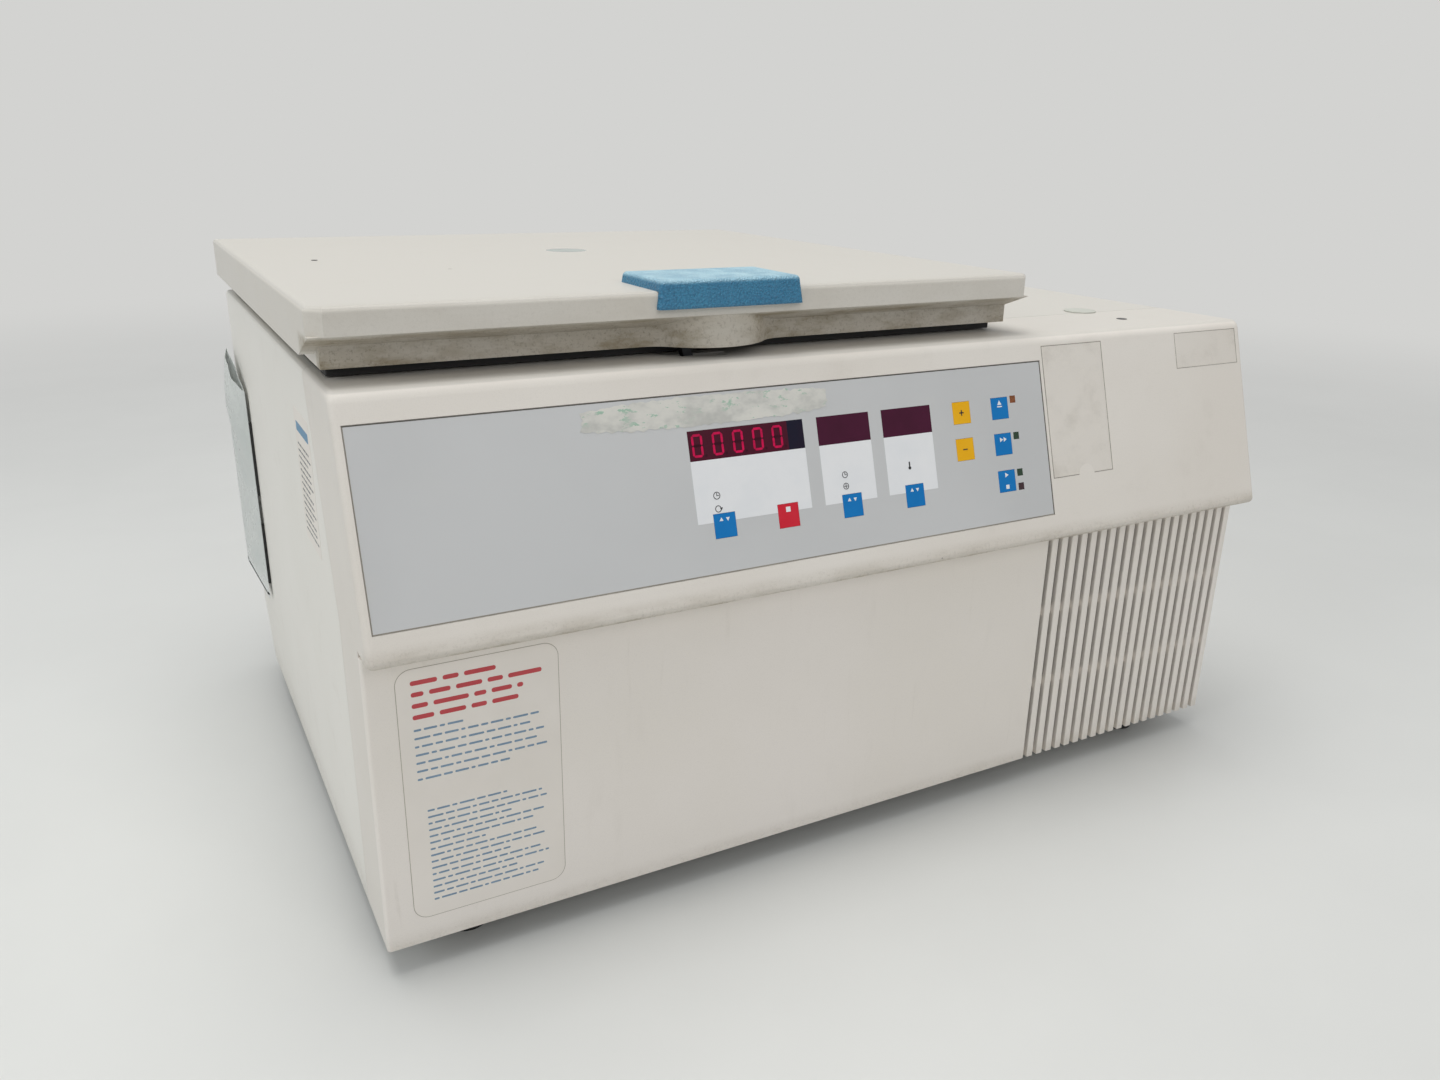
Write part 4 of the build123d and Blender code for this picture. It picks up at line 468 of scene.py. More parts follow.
for nodes, material in (
        (("main_housing",), PAINT), (("front_housing",), FRONT_PAINT), (("lid_shell",), LID_PAINT),
        (("lower_front_panel", "front_grille"), PANEL_PAINT), (("lid_handle",), GRIP),
        (("membrane_foil",), FOIL), (("display_windows",), WINDOW), (("status_leds",), LENS),
        (("key_set_speed", "key_set_time", "key_set_temperature", "key_lid", "key_quick_run",
          "key_start_stop"), KEY_BLUE),
        (("key_brake",), KEY_RED), (("key_plus", "key_minus"), KEY_YELLOW),
        (("rotor_chamber",), STAINLESS), (("lid_liner",), LINER_STEEL),
        (("rear_screws", "lid_screws", "hinge_brackets", "hinge_pins", "hinge_leaves", "lid_striker",
          "drive_shaft", "motor_stator", "motor_bearings"), STEEL), (("lock_hook",), DARK_STEEL),
        (("motor_housing", "rotor_yoke", "plate_carrier_front", "plate_carrier_rear"), ALUMINIUM),
        (("condenser",), FINS), (("evaporator_coil", "refrigerant_lines"), COPPER),
        (("base_plate", "chassis_frame", "guard_ring", "fan_shroud", "rear_panel"), GREY_PAINT),
        (("compressor", "fan_motor", "lock_body"), BLACK_PAINT),
        (("rubber_feet", "chamber_gasket", "shaft_boot", "rubber_mounts"), RUBBER),
        (("condenser_fan",), FAN_BLACK), (("power_inlet", "mains_rocker"), INLET_BLACK),
        (("rotor_knob", "display_modules"), KNOB_BLACK), (("control_board", "display_board"), BOARD),
        (("sight_glass",), SIGHT),
        (("chamber_insulation",), foam_block("insulation foam"))):
    for node in nodes:
        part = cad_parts[node]
        part.data.materials.clear()
        part.data.materials.append(material)


# ---------------------------------------------------------------- modelling helpers
def deselect():
    if bpy.context.mode != "OBJECT":
        bpy.ops.object.mode_set(mode="OBJECT")
    bpy.ops.object.select_all(action="DESELECT")


@contextmanager
def shaping(pick=None):
    """Edit mode on the active piece, with all of it selected, or the faces that pick takes."""
    piece = bpy.context.object
    if pick:
        for items in (piece.data.vertices, piece.data.edges, piece.data.polygons):
            items.foreach_set("select", [False] * len(items))
        for face in piece.data.polygons:
            face.select = pick(face)
    bpy.ops.object.mode_set(mode="EDIT")
    bpy.ops.mesh.select_mode(type="FACE")
    if not pick:
        bpy.ops.mesh.select_all(action="SELECT")
    yield piece
    bpy.ops.object.mode_set(mode="OBJECT")


def fix_transform():
    bpy.ops.object.transform_apply(location=True, rotation=True, scale=True)


def modify(kind, **settings):
    """Adds a modifier to the active piece and applies it."""
    piece = bpy.context.object
    made = piece.modifiers.new(kind.lower(), kind)
    for key, value in settings.items():
        setattr(made, key, value)
    bpy.ops.object.modifier_apply(modifier=made.name)


def round_edges(width, segments=3, angle=35):
    modify("BEVEL", width=width, segments=segments, limit_method="ANGLE", angle_limit=radians(angle))
    bpy.ops.object.shade_smooth_by_angle(angle=radians(angle))


def draw_out(height):
    """In edit mode, the selected faces become a solid of this height."""
    bpy.ops.mesh.extrude_region_move(TRANSFORM_OT_translate={"value": (0, 0, height)})
    bpy.ops.mesh.select_all(action="SELECT")
    bpy.ops.mesh.normals_make_consistent(inside=False)


def plate(x0, x1, y0, y1, thick, corner=0.0, steps=8, lift=0.0):
    """A flat plate in its working frame, its corners rounded in plan."""
    deselect()
    bpy.ops.mesh.primitive_plane_add(size=1, location=((x0 + x1) / 2, (y0 + y1) / 2, lift))
    bpy.context.object.scale = (x1 - x0, y1 - y0, 1)
    fix_transform()
    with shaping():
        if corner:
            bpy.ops.mesh.bevel(offset=corner, segments=steps, affect="VERTICES")
            bpy.ops.mesh.select_all(action="SELECT")
        draw_out(thick)
    return bpy.context.object


def disc(x, y, radius, thick, sides=48, lift=0.0, turn=0.0):
    """A round or many-sided plate in its working frame."""
    deselect()
    bpy.ops.mesh.primitive_circle_add(vertices=sides, radius=radius, fill_type="NGON",
                                      location=(x, y, lift), rotation=(0, 0, turn))
    fix_transform()
    with shaping():
        draw_out(thick)
    return bpy.context.object


def ring(centre, outer, inner, height, sides):
    """A tube standing on its centre's height."""
    deselect()
    bpy.ops.mesh.primitive_circle_add(vertices=sides, radius=outer, fill_type="NGON", location=centre)
    fix_transform()
    with shaping():
        bpy.ops.mesh.inset(thickness=outer - inner)
        bpy.ops.mesh.delete(type="FACE")
        bpy.ops.mesh.select_all(action="SELECT")
        draw_out(height)
    return bpy.context.object


def join(pieces):
    """The pieces become one, which stays active."""
    deselect()
    for piece in pieces:
        piece.select_set(True)
    bpy.context.view_layer.objects.active = pieces[0]
    if len(pieces) > 1:
        bpy.ops.object.join()
    return bpy.context.object


def cut(piece, cutter):
    """Cuts a piece with a closed one, which is then removed."""
    deselect()
    bpy.context.view_layer.objects.active = piece
    modify("BOOLEAN", object=cutter, operation="DIFFERENCE", solver="EXACT")
    bpy.data.objects.remove(cutter)


def place(name, material, body, where=None):
    """Finishes the active piece: moved onto its working frame, named, painted and riding."""
    piece = bpy.context.object
    if where is not None:
        piece.matrix_world = where @ piece.matrix_world
    fix_transform()
    piece.name = piece.data.name = name
    piece.data.materials.clear()
    piece.data.materials.append(material)
    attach(piece, body)
    return piece


def raised_digit(digit, size, x, y, depth, lift):
    """A raised plain digit, as a mesh in the working frame."""
    deselect()
    bpy.ops.object.text_add(location=(x, y, lift))
    sign = bpy.context.object
    sign.data.body = digit
    sign.data.size = size
    sign.data.extrude = depth / 2
    sign.data.align_x = "CENTER"
    sign.data.align_y = "CENTER"
    bpy.ops.object.convert(target="MESH")
    fix_transform()
    return bpy.context.object


# ---------------------------------------------------------------- printed control face
def face_plate(x0, x1, s0, s1, thick=HAIR, corner=0.0, steps=6, lift=FOIL_LIFT):
    """A plate on the control face: x from the left end, s down from the top corner line."""
    return plate(x0 * MM, x1 * MM, -s1 * MM, -s0 * MM, thick, corner * MM, steps, lift)


KEY_HALF, KEY_GAP = 7.35, 0.15
# each key's middle, in millimetres from the face's left end and down from its top corner line
KEY_SPOTS = {
    "set_speed": (216.4, 97.3), "brake": (261.1, 97.3), "set_time": (309.1, 97.3),
    "set_temperature": (358.8, 97.3), "plus": (404.4, 47.1), "minus": (404.4, 71.8),
    "lid": (438.0, 47.1), "quick_run": (438.0, 71.8), "start_stop": (438.0, 97.3)}
WINDOWS = ((198.4, 278.6), (288.8, 328.5), (338.5, 378.1))
FIELD_TOP, FIELD_BOTTOM = 57.3, 94.8

fields = []
for x0, x1 in WINDOWS:
    field = face_plate(x0, x1, FIELD_TOP, FIELD_BOTTOM)
    for key_x, key_s in KEY_SPOTS.values():
        if x0 < key_x < x1 and key_s > FIELD_BOTTOM:
            gap = KEY_HALF + KEY_GAP
            cut(field, face_plate(key_x - gap, key_x + gap, key_s - gap, key_s + gap, MM, lift=-MM / 2))
    fields.append(field)
join(fields)
place("white_fields", WHITE_INK, "base", FACE)

DIGIT_WIDTH, DIGIT_HEIGHT, STROKE = 7.3, 13.9, 1.45
DIGIT_PITCH = 13.8
DIGIT_FIRST = 204.3        # middle of the first digit
DIGIT_MIDDLE = 48.3
SEGMENT_GAP = 0.25         # between the ends of neighbouring segments
POINT_OFF, POINT_RADIUS = 2.2, 0.7
INK = 2 * HAIR             # raised over the printed fields


def bar(x, s, length, upright):
    """One segment of a digit."""
    half = (STROKE / 2, length / 2) if upright else (length / 2, STROKE / 2)
    return face_plate(x - half[0], x + half[0], s - half[1], s + half[1], INK, STROKE * 0.49, 1)


# five zeros: the middle segments and the points stay dark
lit, unlit = [], []
half_w, half_h = (DIGIT_WIDTH - STROKE) / 2, (DIGIT_HEIGHT - STROKE) / 2
flat, tall = 2 * half_w - SEGMENT_GAP, half_h - SEGMENT_GAP
for i in range(5):
    digit_x = DIGIT_FIRST + i * DIGIT_PITCH
    for side in (-1, 1):
        lit.append(bar(digit_x, DIGIT_MIDDLE + side * half_h, flat, False))
        for level in (-1, 1):
            lit.append(bar(digit_x + side * half_w, DIGIT_MIDDLE + level * half_h / 2, tall, True))
    unlit.append(bar(digit_x, DIGIT_MIDDLE, flat, False))
    unlit.append(disc((digit_x + half_w + POINT_OFF) * MM, -(DIGIT_MIDDLE + half_h) * MM,
                      POINT_RADIUS * MM, INK, 16, FOIL_LIFT))
join(lit)
place("display_digits", lit_segment("lit segments", "C2104A", 0.2), "base", FACE)
join(unlit)
place("display_unlit", printed("unlit segments", "3A0A1E", "330818", 0.4, shine=0.1),
      "base", FACE)


def triangle(x, s, radius, turn):
    return disc(x * MM, -s * MM, radius * MM, INK, 3, FOIL_LIFT, turn)


UP, DOWN, RIGHTWARD = 0.0, pi, -pi / 2


def key_sign(key, parts, ink=WHITE_INK):
    """Joins a key's printed sign; it moves with its key."""
    join(parts)
    place(f"sign_{key}", ink, f"key_{key}", FACE)


def sign_bar(x, s, half_wide, half_high):
    return face_plate(x - half_wide, x + half_wide, s - half_high, s + half_high, INK)


for key in ("set_speed", "set_time", "set_temperature"):
    x, s = KEY_SPOTS[key]
    key_sign(key, [triangle(x - 2.2, s - 3.6, 1.5, UP), triangle(x + 2.2, s - 3.9, 1.5, DOWN)])
x, s = KEY_SPOTS["brake"]
key_sign("brake", [sign_bar(x, s - 3.8, 1.6, 1.6)])
x, s = KEY_SPOTS["lid"]
key_sign("lid", [triangle(x, s - 3.4, 2.1, UP), sign_bar(x, s - 1.2, 2.1, 0.4)])
x, s = KEY_SPOTS["quick_run"]
key_sign("quick_run", [triangle(x - 1.7, s - 3.2, 1.8, RIGHTWARD),
                       triangle(x + 1.5, s - 3.2, 1.8, RIGHTWARD)])
x, s = KEY_SPOTS["start_stop"]
key_sign("start_stop", [triangle(x - 0.3, s - 4.2, 1.9, RIGHTWARD), sign_bar(x, s + 4, 1.4, 1.4)])
x, s = KEY_SPOTS["minus"]
key_sign("minus", [sign_bar(x, s, 1.9, 0.4)], BLACK_INK_AND_SHADE)
x, s = KEY_SPOTS["plus"]
key_sign("plus", [sign_bar(x, s, 1.9, 0.4), sign_bar(x, s, 0.4, 1.9)], BLACK_INK_AND_SHADE)

SIGN_INK = 3 * HAIR
RING_WIDE = 0.42
SPEED_SIGN_X, TIME_SIGN_X, HEAT_SIGN_X = 213, 305.5, 356.7


def face_ring(x, s, radius):
    return ring((x * MM, -s * MM, FOIL_LIFT), radius * MM, (radius - RING_WIDE) * MM, SIGN_INK, 32)


def face_bar(x0, x1, s0, s1):
    return face_plate(x0, x1, s0, s1, SIGN_INK)


def clock_hands(x, s, up, far):
    """An upright hand and a level one that meet near the middle of a dial."""
    return [face_bar(x - 0.2, x + 0.2, s - up, s + 0.2), face_bar(x + 0.2, x + far, s - 0.2, s + 0.2)]


# plain signs on the white fields: dial, turning rotor, clock, rotor and thermometer
join([face_ring(SPEED_SIGN_X, 79, 2.3), *clock_hands(SPEED_SIGN_X, 79, 1.6, 1.5),
      face_ring(SPEED_SIGN_X, 87, 2.1), triangle(SPEED_SIGN_X + 2.1, 87, 1.2, DOWN),
      face_ring(TIME_SIGN_X, 77.3, 2.1), *clock_hands(TIME_SIGN_X, 77.3, 1.5, 1.3),
      face_ring(TIME_SIGN_X, 84.6, 2.1),
      face_bar(TIME_SIGN_X - 0.2, TIME_SIGN_X + 0.2, 83.2, 86.0),
      face_bar(TIME_SIGN_X - 1.4, TIME_SIGN_X + 1.4, 84.4, 84.8),
      face_bar(HEAT_SIGN_X - 0.5, HEAT_SIGN_X + 0.5, 74.8, 78.0),
      disc(HEAT_SIGN_X * MM, -78.8 * MM, 1.1 * MM, SIGN_INK, 24, FOIL_LIFT)])
place("field_signs", BLACK_INK_AND_SHADE, "base", FACE)


# ---------------------------------------------------------------- films, tape and labels
def frame_bars(x0, x1, s0, s1, width, lift, gap=None):
    """Four hairline bars round a rectangle on the face; gap leaves a stretch of the lower one open."""
    sides = [(x0, x0 + width, s0, s1), (x1 - width, x1, s0, s1), (x0 + width, x1 - width, s0, s0 + width)]
    stretches = ((x0 + width, gap[0]), (gap[1], x1 - width)) if gap else ((x0 + width, x1 - width),)
    sides += [(a, b, s1 - width, s1) for a, b in stretches]
    return [face_plate(*side, HAIR, lift=lift) for side in sides]


LARGE_FILM = (480.5, 538.5, 7.2, 100.8)    # left, right, top and foot on the face, millimetres
SMALL_FILM = (615, 683, 6.2, 33.0)
FILM_THICK = 0.12 * MM
NOTCH_X, NOTCH_RADIUS = 512.5, 7.5
film = face_plate(*LARGE_FILM, FILM_THICK, 2.2, lift=0)
cut(film, disc(NOTCH_X * MM, -(LARGE_FILM[3] + 0.3) * MM, NOTCH_RADIUS * MM, MM, 40, -MM / 2))
place("large_film", FILM, "base", FACE)
face_plate(*SMALL_FILM, FILM_THICK, 1.2, lift=0)
place("small_film", FILM, "base", FACE)
join(frame_bars(*LARGE_FILM, 0.55, FILM_THICK, (NOTCH_X - NOTCH_RADIUS, NOTCH_X + NOTCH_RADIUS))
     + frame_bars(*SMALL_FILM, 0.45, FILM_THICK))
place("film_edges", FILM_EDGE, "base", FACE)

# painted shade in the gap at the foil's top and right end, and its paler rim at the left and the foot painted
# as the lit side of that edge
FOIL_X0, FOIL_X1, FOIL_S0, FOIL_S1 = 5.0, 478.0, 17.3, 125.8
GAP, RIM = 0.6, 0.5
top_gap_shade, right_gap_shade, left_lit_rim, foot_lit_rim = (
    face_plate(*side, HAIR, lift=FOIL_LIFT)
    for side in ((FOIL_X0, FOIL_X1, FOIL_S0, FOIL_S0 + GAP),
                 (FOIL_X1 - GAP, FOIL_X1, FOIL_S0 + GAP, FOIL_S1),
                 (FOIL_X0, FOIL_X0 + RIM, FOIL_S0 + GAP, FOIL_S1 - GAP),
                 (FOIL_X0, FOIL_X1 - GAP, FOIL_S1 - GAP, FOIL_S1)))
join([top_gap_shade, right_gap_shade])
place("foil_gap_shade", printed("foil gap shade", "57544E", "484640", 0.6, 12), "base", FACE)
join([left_lit_rim, foot_lit_rim])
place("foil_lit_rim", printed("foil lit rim", "8B867C", "9B968B", 0.5, 12), "base", FACE)


def torn_strip(x0, x1, y0, y1, thick, ragged, seed):
    """A strip of paper tape with torn long edges and frayed ends."""
    deselect()
    bpy.ops.mesh.primitive_grid_add(x_subdivisions=110, y_subdivisions=10, size=1)
    piece = bpy.context.object
    for vertex in piece.data.vertices:
        along, across = vertex.co.x + 0.5, vertex.co.y
        wave = noise.noise(Vector((along * 9, across * 1.5, seed))) * 0.5
        fray = noise.noise(Vector((along * 42, across * 4, seed + 3)))
        vertex.co.x = x0 + (x1 - x0) * along + ragged * 2 * fray * abs(2 * along - 1) ** 6
        vertex.co.y = (y0 + y1) / 2 + (y1 - y0) * across * (1 - 0.35 * abs(2 * along - 1) ** 3) \
            + ragged * (wave + fray * abs(2 * across))
        vertex.co.z = FOIL_LIFT + HAIR
    with shaping():
        draw_out(thick)
    return piece


def tape_paper(name):
    """Old masking tape, with flecks of an under layer showing."""
    f = Finish(name)
    flecks = f.noise(210, 4, 0.7, (0.5, 1, 1)).between(0.57, 0.62)
    worn = f.noise(45, 4, 0.65, (0.6, 1, 1), 4.4)
    colour = f.mix(worn.between(0.35, 0.7), linear("CFCFCA"), linear("DAD8D1"))
    colour = f.mix(flecks * worn.between(0.42, 0.6) * 0.8, colour, linear("8FB9A2"))
    f.feed("Base Color", colour)
    f.feed("Alpha", 0.75 + worn.between(0.35, 0.6) * 0.25)
    f.feed("Roughness", 0.6 + worn * 0.2)
    f.feed("Normal", f.bump(worn + flecks * 0.3, 0.5, 0.3 * MM))
    return f.material


TAPE_X, TAPE_Y = (134 * MM, 298 * MM), (-36.4 * MM, -19.2 * MM)
torn_strip(*TAPE_X, *TAPE_Y, thick=0.12 * MM, ragged=1.6 * MM, seed=1.0)
place("tape_strip", tape_paper("masking tape"), "base", FACE)


def ruled_lines(x0, x1, rows, height, lift, shorten, words=(4.2, 7.5, 3.0, 9.0, 5.2, 8.0, 2.4, 6.3)):
    """Rows of plain printed bars, each as long as a word; they say nothing."""
    bars = []
    gap = height * 1.1
    for i, y in enumerate(rows):
        start, end = x0, x1 - (x1 - x0) * shorten[i % len(shorten)]
        word = 3 * i
        while end - start > height:
            stop = min(end, start + words[word % len(words)])
            bars.append(plate(start * MM, stop * MM, (y - height / 2) * MM, (y + height / 2) * MM, HAIR,
                              height * 0.4 * MM, 2, lift))
            start, word = stop + gap, word + 1
    return bars


PAPER_THICK = 0.12 * MM
PANEL_LABEL = (17, 110.5, 37, 198)         # left, right, foot and top on the lower panel, millimetres
EDGE = 0.4
SIDE_LABEL = (85, 138, 233, 317)           # rear and front ends, foot and top on the left side
SIDE_BAND = (91, 133, 303, 309)            # a plain band over its ruled lines


def label_plate(x0, x1, y0, y1, thick, corner, steps, lift=0.0):
    """A plate on the lower panel, the side or the rear, given in millimetres."""
    return plate(x0 * MM, x1 * MM, y0 * MM, y1 * MM, thick, corner * MM, steps, lift)


def rows_from(top, pitch, count):
    return [top - pitch * i for i in range(count)]


x0, x1, y0, y1 = PANEL_LABEL
label_plate(x0 - EDGE, x1 + EDGE, y0 - EDGE, y1 + EDGE, HAIR, 9 + EDGE, 10)
place("panel_label_edge", printed("label edge", "A8A195", "B4ADA1", 0.5, 12), "base", PANEL)
label_plate(*PANEL_LABEL, PAPER_THICK, 9, 10)
place("panel_label", PAPER, "base", PANEL)
join(ruled_lines(25, 103, rows_from(189.5, 7, 4), 2.8, PAPER_THICK, [0.38, 0.03, 0.18, 0.22],
                 (15, 9, 20, 7, 12)))
place("panel_label_heading", printed("red ink", "BE3E45", "C6494F", 0.4), "base", PANEL)
join(ruled_lines(25, 102, rows_from(160.5, 5.2, 7), 1.3, PAPER_THICK,
                 [0.62, 0.04, 0.12, 0.02, 0.08, 0.0, 0.3])
     + ruled_lines(29, 102, rows_from(108, 4.3, 15), 1.2, PAPER_THICK,
                   [0.35, 0.06, 0.02, 0.3, 0.05, 0.12, 0.55, 0.1, 0.04]))
place("panel_label_lines", printed("blue ink", "7390A8", "7E9AB1", 0.4), "base", PANEL)

label_plate(*SIDE_LABEL, PAPER_THICK, 2, 4)
place("side_label", PAPER, "base", SIDE)
label_plate(*SIDE_BAND, HAIR, 1, 4, PAPER_THICK)
place("side_label_band", printed("label blue", "4E84AA", "5C90B2", 0.4), "base", SIDE)
join(ruled_lines(91, 133, rows_from(295, 4.2, 14), 1.2, PAPER_THICK, [0.1, 0.0, 0.25, 0.05]))
place("side_label_lines", printed("grey ink", "505257", "5A5C61", 0.4), "base", SIDE)

# ---------------------------------------------------------------- document sleeve on the left side
SLEEVE_DEEPEST = min(corner[0] for corner in SLEEVE_BOX) + 0.3 * MM
SLEEVE_SLANT = 24 * MM     # mouth lower at the front
SLEEVE_RISE = 11 * MM      # foot higher at the rear
SLEEVE_OFF = 2.6 * MM      # held off the housing by its strips
SLEEVE_FLARE = 7.5 * MM    # its rear edge stands further off
SLEEVE_SWELL = 8.0 * MM
SLEEVE_THICK = 0.35 * MM


def swelling(rise):
    """How far the sleeve stands open at a height: widest under its mouth, nearly flat lower down."""
    waist = max(0.0, 1 - abs(rise - 0.52) / 0.24)
    foot = min(1.0, rise / 0.14)
    top = max(0.0, (rise - 0.9) / 0.1)
    return sin(foot * pi / 2) * (0.3 + 0.7 * min(1.0, max(0.0, (rise - 0.5) / 0.3)) ** 1.5
                                 - 0.15 * waist - 0.25 * top)


def sleeve_sheet(fullness):
    """One face of the crumpled sleeve, from its welded foot up to its open mouth."""
    deselect()
    bpy.ops.mesh.primitive_grid_add(x_subdivisions=36, y_subdivisions=96, size=1)
    sheet = bpy.context.object
    for vertex in sheet.data.vertices:
        along, rise = vertex.co.x + 0.5, vertex.co.y + 0.5
        inside = sin(pi * along) * min(1.0, rise * 8)
        rumple = noise.noise(Vector((along * 2.6, rise * 6, 2.0))) \
            + 0.55 * noise.noise(Vector((along * 7, rise * 17, 5.0)))
        torn = noise.noise(Vector((along * 5, 3.0, 1.0))) * rise ** 8
        flare = SLEEVE_FLARE * along * (1 - 1.6 * max(0.0, rise - 0.6))
        swell = fullness * inside ** 0.7 * SLEEVE_SWELL * swelling(rise)
        creases = inside * rumple * (0.6 + fullness * rise) * MM
        vertex.co.x = max(SLEEVE_DEEPEST, LEFT - SLEEVE_OFF - flare - swell - creases)
        vertex.co.y = SLEEVE_FRONT + 2.2 * MM + (SLEEVE_REAR - SLEEVE_FRONT - 3 * MM) * along
        low = SLEEVE_FOOT + 2 * MM + SLEEVE_RISE * along
        high = SLEEVE_MOUTH - 2.5 * MM - SLEEVE_SLANT * (1 - along) + 3.2 * MM * torn
        vertex.co.z = low + (high - low) * rise
    return sheet


join([sleeve_sheet(1.0), sleeve_sheet(0.0)])
with shaping():
    bpy.ops.mesh.remove_doubles(threshold=0.05 * MM)
    bpy.ops.mesh.select_all(action="SELECT")
    bpy.ops.mesh.normals_make_consistent(inside=False)
modify("SOLIDIFY", thickness=SLEEVE_THICK, offset=0)
bpy.ops.object.shade_smooth_by_angle(angle=radians(50))
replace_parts(place("document_sleeve", POCKET, "base"), "document_pocket")
# two black adhesive strips hold it, and also stand in as painted shade for the dark gap behind its front
# edge; x runs forward in the side's own frame
STRIP_REAR, STRIP_FRONT = -(SLEEVE_FRONT + 11 * MM), -(SLEEVE_FRONT + 3.5 * MM)
STRIP_HEIGHTS = ((0.107, 0.160), (0.186, 0.248))
join([plate(STRIP_REAR, STRIP_FRONT, low, high, SLEEVE_OFF - 0.5 * MM, MM, 3) for low, high in STRIP_HEIGHTS])
place("sleeve_strips", KNOB_BLACK, "base", SIDE)

# ---------------------------------------------------------------- caps and marks on the deck and lid
DECK_CAP, DECK_PLUG = (266 * MM, -128.5 * MM), (265 * MM, -173.5 * MM)
LID_PLUG = (-297 * MM, 41.5 * MM)
disc(*DECK_CAP, 12.5 * MM, 1.0 * MM, 64)
round_edges(0.4 * MM)
place("deck_cap", printed("deck cap", "C2C4BB", "BBBEB4", 0.35), "base", DECK_TOP)
disc(*DECK_PLUG, 4.0 * MM, 0.3 * MM, 32)
round_edges(0.12 * MM, 2)
place("deck_plug", KNOB_BLACK, "base", DECK_TOP)
disc(*LID_PLUG, 2.2 * MM, 0.3 * MM, 32)
round_edges(0.12 * MM, 2)
place("lid_plug", KNOB_BLACK, "lid", LID_FACE)

# ---------------------------------------------------------------- rotor and chamber details
HUB_TOP = 0.272
KNOB_TOP = HUB_TOP + 20 * MM
insert = disc(CHAMBER.x, CHAMBER.y, 11 * MM, 1.2 * MM, 48)
cut(insert, disc(CHAMBER.x, CHAMBER.y, 4.5 * MM, 4 * MM, 6, -MM))
round_edges(0.3 * MM, 2)
place("knob_insert", STEEL, "rotor", Matrix.Translation((0, 0, KNOB_TOP)))

BOLT_CIRCLE, BOLT_RADIUS, BOLT_HIGH = 24 * MM, 3.4 * MM, 2.4 * MM
BOLT_RECESS = 1.5 * MM     # the recess is as deep as its rim is wide
bolts = []
for angle in range(45, 360, 90):
    x = CHAMBER.x + BOLT_CIRCLE * cos(radians(angle))
    y = CHAMBER.y + BOLT_CIRCLE * sin(radians(angle))
    disc(x, y, BOLT_RADIUS, BOLT_HIGH, 32, HUB_TOP)
    with shaping(lambda face: face.normal.z > 0.9):
        bpy.ops.mesh.inset(thickness=BOLT_RECESS)
        bpy.ops.mesh.extrude_region_move(TRANSFORM_OT_translate={"value": (0, 0, -BOLT_RECESS)})
    round_edges(0.25 * MM, 2, 60)
    bolts.append(bpy.context.object)
join(bolts)
place("hub_bolts", STEEL, "rotor")

NUMBER_X, NUMBER_Y, NUMBER_HIGH = 50 * MM, 9 * MM, 14 * MM
join([raised_digit(digit, NUMBER_HIGH, CHAMBER.x + side * NUMBER_X, CHAMBER.y + side * NUMBER_Y,
                   0.3 * MM, HUB_TOP)
      for digit, side in (("1", -1), ("2", 1))])
place("rotor_numbers", BLACK_INK_AND_SHADE, "rotor")

PAD_X, PAD_Y, PAD_Z = 54 * MM, 34 * MM, 0.213     # a pad's middle, from the carrier's
PAD_HALF_X, PAD_HALF_Y = 7 * MM, 5 * MM
for name, y in CARRIER_Y.items():
    pads = []
    for pad_x in (CHAMBER.x - PAD_X, CHAMBER.x + PAD_X):
        for pad_y in (y - PAD_Y, y + PAD_Y):
            pads.append(plate(pad_x - PAD_HALF_X, pad_x + PAD_HALF_X, pad_y - PAD_HALF_Y, pad_y + PAD_HALF_Y,
                              0.25 * MM, 2 * MM, 4, PAD_Z))
    join(pads)
    place(f"carrier_pads_{name}", RUBBER, f"{name}_carrier")

# pressed bead on the lid's liner
deselect()
bpy.ops.mesh.primitive_torus_add(major_segments=128, minor_segments=12, major_radius=150 * MM,
                                 minor_radius=3 * MM,
                                 location=(CHAMBER.x, CHAMBER.y, LID_UNDERSIDE + 1.5 * MM))
with shaping():
    bpy.ops.transform.resize(value=(1, 1, 0.6))
bpy.ops.object.shade_smooth()
place("liner_bead", LINER_STEEL, "lid")

# rubber seal under the liner's front and side edges; it is black and also stands in as painted shade,
# darkening the gap under the lid
SEAL_DEEP, SEAL_WIDE = 5.6 * MM, 4.5 * MM
SEAL_FRONT, SEAL_BACK, SEAL_LEFT, SEAL_RIGHT = 0.1730, -0.212, -0.3310, 0.1300
join([plate(SEAL_LEFT, SEAL_RIGHT, SEAL_FRONT - SEAL_WIDE, SEAL_FRONT, SEAL_DEEP, MM, 3),
      plate(SEAL_LEFT, SEAL_LEFT + SEAL_WIDE, SEAL_BACK, SEAL_FRONT - SEAL_WIDE, SEAL_DEEP, 0.5 * MM, 2),
      plate(SEAL_RIGHT - SEAL_WIDE, SEAL_RIGHT, SEAL_BACK, SEAL_FRONT - SEAL_WIDE, SEAL_DEEP, 0.5 * MM, 2)])
place("lid_seal", RUBBER, "lid", LID_UNDER)

# temperature probe on the chamber floor
deselect()
PROBE_MIDDLE = (CHAMBER.x + 128 * MM, CHAMBER.y + 80 * MM, 0.205)
bpy.ops.mesh.primitive_cylinder_add(vertices=24, radius=3 * MM, depth=40 * MM, location=PROBE_MIDDLE)
with shaping(lambda face: face.normal.z > 0.9):
    bpy.ops.mesh.inset(thickness=0.8 * MM)
    bpy.ops.mesh.extrude_region_move(TRANSFORM_OT_translate={"value": (0, 0, 2 * MM)})
round_edges(0.6 * MM, 3)
place("temperature_probe", LINER_STEEL, "base")


# ---------------------------------------------------------------- rear details
RECESS = 2.2 * MM          # half the length of a cross


